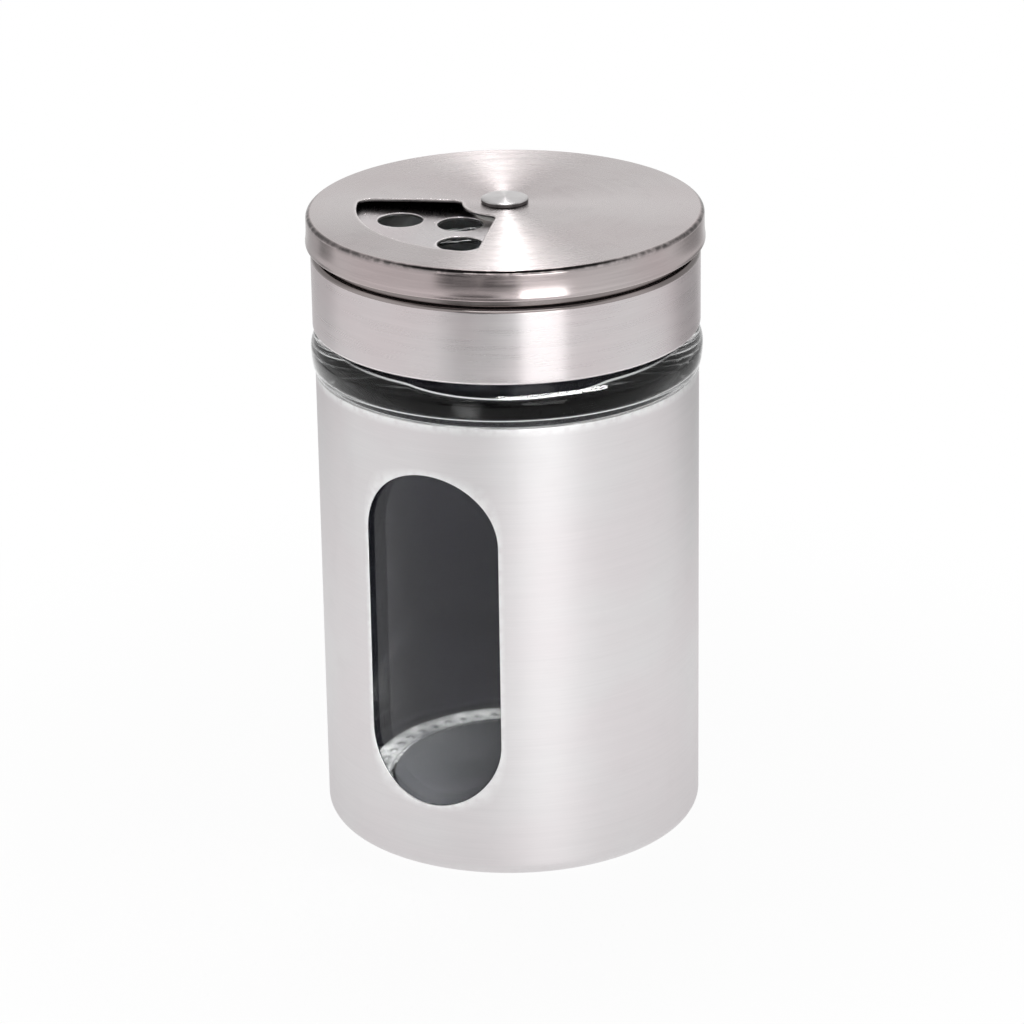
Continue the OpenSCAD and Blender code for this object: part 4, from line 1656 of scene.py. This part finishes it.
    def floor(self) -> None:
        """Lays a round white floor whose look is part its own lit surface and part plain white.

        Near the object it is a little darker, and a smooth step in the distance from the axis, times one
        for each shade, gives the white that reflections show.
        """
        sides, reach = 96, 0.6
        angle = np.arange(sides) * 2 * np.pi / sides
        rim = reach * np.column_stack([np.cos(angle), np.sin(angle), np.zeros(sides)])
        mesh = bpy.data.meshes.new("studio_floor")
        mesh.from_pydata(rim.tolist(), [], [list(range(sides))])
        material, graph, out = new_material("studio_floor")
        path = graph.add("LightPath")
        seen = graph.math("MAXIMUM", path.outputs["Is Camera Ray"], path.outputs["Is Glossy Ray"])
        seen = graph.math("MAXIMUM", seen, path.outputs["Is Transmission Ray"])
        place = graph.place()
        radius = graph.add("VectorMath", {0: place}, operation="LENGTH").outputs["Value"]
        lit = graph.add("BsdfDiffuse", {"Color": (self.floor_tone,) * 3})
        start, end, fallen = self.floor_far
        tone = graph.math("MULTIPLY", graph.step(radius, *self.floor_near),
                          graph.step(radius, start, end, 1.0, fallen))
        for azimuth, away, inner, outer, dark in self.shades:
            spot = tuple((self.toward(azimuth, 0) * away).tolist())
            far = graph.add("VectorMath", {0: place, 1: spot}, operation="DISTANCE").outputs["Value"]
            tone = graph.math("MULTIPLY", tone, graph.step(far, inner, outer, dark, 1.0))
        tone = graph.math("MAXIMUM", tone, path.outputs["Is Camera Ray"])
        white = graph.add("Emission", {"Color": (1.0, 1.0, 1.0), "Strength": tone})
        share = graph.math("MULTIPLY", seen, graph.step(radius, *self.floor_plain))
        mix = graph.add("MixShader", {0: share, 1: lit.outputs[0], 2: white.outputs[0]})
        graph.tree.links.new(mix.outputs[0], out.inputs[0])
        mesh.materials.append(material)
        floor = bpy.data.objects.new("studio_floor", mesh)
        bpy.context.scene.collection.objects.link(floor)

    def world(self) -> None:
        """Surrounds the object with an even tone and softer patches, white as seen by the camera.

        A patch is a smooth step in the cosine of the angle from its middle.
        """
        world = bpy.data.worlds.new("studio_world")
        world.use_nodes = True
        world.node_tree.nodes.clear()
        graph = Graph(world.node_tree)
        way = graph.add("TexCoord").outputs["Generated"]
        tone: Feed = self.surround
        for azimuth, elevation, inner, outer, bright in self.patches:
            facing = graph.add("VectorMath", {0: way, 1: tuple(self.toward(azimuth, elevation).tolist())},
                               operation="DOT_PRODUCT").outputs["Value"]
            mask = graph.step(facing, float(np.cos(np.radians(outer))), float(np.cos(np.radians(inner))))
            tone = graph.add("Mix", {0: mask, 2: tone, 3: bright}, data_type="FLOAT").outputs[0]
        camera = graph.add("LightPath").outputs["Is Camera Ray"]
        tone = graph.add("Mix", {0: camera, 2: tone, 3: 1.0}, data_type="FLOAT").outputs[0]
        back = graph.add("Background", {"Color": (1.0, 1.0, 1.0), "Strength": tone})
        out = graph.add("OutputWorld")
        graph.tree.links.new(back.outputs[0], out.inputs[0])
        bpy.context.scene.world = world

    def set_up(self) -> None:
        """Builds the whole studio."""
        self.camera()
        self.floor()
        self.world()
        for lamp in self.lamps:
            self.light(lamp)
        bpy.context.scene.view_settings.view_transform = "Standard"


class ShakerFinishes:
    """Every finish of the shaker."""

    def __init__(self, kit: EffectKit) -> None:
        """Builds the materials.

        Args:
            kit: The shared effects.
        """
        self.sleeve = TurnedSteel(
            "sleeve_brushed_steel", base=(0.80, 0.785, 0.79), tint=(0.79, 0.755, 0.765), rough=0.50,
            brushed=0.5, along=2.0, across=5500.0, streak=0.035, relief=0.0015, seed=3.0).material(kit)
        self.cap = TurnedSteel(
            "cap_turned_steel", base=(0.71, 0.68, 0.685), tint=(0.70, 0.63, 0.64), rough=0.29, brushed=0.85,
            along=2.5, across=6500.0, streak=0.05, relief=0.0015, seed=11.0).material(kit)
        self.dial = TurnedSteel(
            "dial_spun_steel", base=(0.625, 0.583, 0.58), tint=(0.60, 0.545, 0.545), rough=0.27, brushed=0.96,
            along=2.5, across=5200.0, streak=0.06, relief=0.002, seed=23.0).material(kit)
        # The sleeve's inside, painted near-black as shade.
        self.inside = TurnedSteel(
            "sleeve_inside_painted_shade", base=(0.033, 0.032, 0.040), tint=(0.038, 0.037, 0.045), rough=0.62,
            brushed=0.2, along=3.0, across=3000.0, streak=0.1, relief=0.0001, seed=31.0).material(kit)
        # Steel darkened for the insides of cap and dial: painted shade.
        self.under = TurnedSteel(
            "cap_and_dial_inside_painted_shade", base=(0.20, 0.195, 0.195), tint=(0.17, 0.165, 0.165), rough=0.42, brushed=0.3,
            along=3.0, across=3500.0, streak=0.08, relief=0.003, seed=37.0).material(kit)
        # Darkened shoulder of the cap: painted shade under the dial's lip.
        self.shoulder = TurnedSteel(
            "cap_shoulder_painted_shade", base=(0.34, 0.30, 0.295), tint=(0.30, 0.265, 0.26), rough=0.17, brushed=0.4,
            along=2.5, across=5200.0, streak=0.06, relief=0.0015, seed=29.0).material(kit)
        self.rivet = PolishedSteel("rivet_polished_steel", base=(0.62, 0.60, 0.60), rough=0.2,
                                   spun=0.9).material(kit)
        # Dark side of the rivet's head: painted shade under the head.
        self.rivet_side = PolishedSteel("rivet_side_painted_shade", base=(0.13, 0.12, 0.12),
                                        rough=0.25).material(kit)
        # Its low share for marked edges paints a dark line along the dial's edge: painted shade.
        self.drawn = TurnedSteel(
            "drawn_edge_steel", base=(0.60, 0.545, 0.54), tint=(0.56, 0.475, 0.475), rough=0.17, brushed=0.17,
            along=2.5, across=5200.0, streak=0.06, relief=0.0015, seed=27.0, wear_and_light=0.22).material(kit)
        self.glass = ClearGlass("jar_clear_glass").material(kit)
        # Its second colour darkens the marked recesses of the ring: painted shade.
        self.frost = Moulded(
            "jar_frosted_ring", base=(0.75, 0.73, 0.72), second=(0.04, 0.04, 0.045), rough=0.45, grain=3000.0,
            relief=0.03, speck=0.02, edge=0.9).material(kit)
        self.seal = Moulded(
            "seal_soft_rubber", base=(0.05, 0.05, 0.052), second=(0.07, 0.07, 0.073), rough=0.55,
            grain=2600.0).material(kit)
        self.liner = Moulded(
            "liner_moulded_plastic", base=(0.045, 0.045, 0.048), second=(0.06, 0.06, 0.064), rough=0.42,
            grain=1800.0).material(kit)
        self.washer = Moulded(
            "washer_moulded_plastic", base=(0.78, 0.78, 0.75), second=(0.70, 0.70, 0.67), rough=0.38,
            grain=3000.0, relief=0.01).material(kit)
        self.pad = Moulded(
            "base_pad_foam", base=(0.032, 0.031, 0.035), second=(0.06, 0.058, 0.063), rough=0.85, grain=900.0,
            relief=0.2, speck=0.5).material(kit)


@dataclass(frozen=True)
class Shaker:
    """The whole shaker: its new pieces and the solids that stay.

    Attributes:
        sleeve: The steel sleeve.
        jar: The glass jar.
        cap: The cap's shell.
        dial: The dial.
        rivet: The rivet.
    """

    sleeve: SteelSleeve = SteelSleeve()
    jar: GlassJar = GlassJar()
    cap: CapShell = CapShell()
    dial: Dial = Dial()
    rivet: Rivet = Rivet()

    def dress(self, finishes: ShakerFinishes) -> None:
        """Builds each new piece, ties it to its body and finishes the solids that stay.

        Args:
            finishes: The materials.
        """
        pieces = (
            (self.sleeve.build(finishes.sleeve, finishes.inside), "jar", "steel_sleeve", Slot.SLEEVE),
            (self.jar.build(finishes.glass, finishes.frost), "jar", "glass_jar", Slot.GLASS),
            (self.cap.build(finishes.cap, finishes.under, finishes.shoulder), "cap", "cap_shell", Slot.CAP),
            (self.dial.build(finishes.dial, finishes.under, finishes.drawn), "dial", "dial", Slot.DIAL),
            (self.rivet.build(finishes.rivet, finishes.rivet_side), "cap", "pivot_rivet", Slot.RIVET),
        )
        taken = Studio.jar_takes()
        for piece, body, node, slot in pieces:
            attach(piece, body)
            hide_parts(node)
            log.info("%s rides on %s and stands for %s", piece.name, body, node)
            if slot is Slot.GLASS:
                taken.objects.link(piece)
        taken.objects.link(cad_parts["base_pad"])
        kept = {"base_pad": finishes.pad, "seal_ring": finishes.seal, "cap_liner": finishes.liner,
                "friction_washer": finishes.washer}
        for node, material in kept.items():
            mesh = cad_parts[node].data
            mesh.materials.clear()
            mesh.materials.append(material)
            log.info("%s stays and takes %s", node, material.name)


def main() -> None:
    """Builds the shaker in its studio."""
    logging.basicConfig(level=logging.INFO, format="%(name)s: %(message)s")
    Studio().set_up()
    Shaker().dress(ShakerFinishes(EffectKit()))


if __name__ == "__main__":
    main()
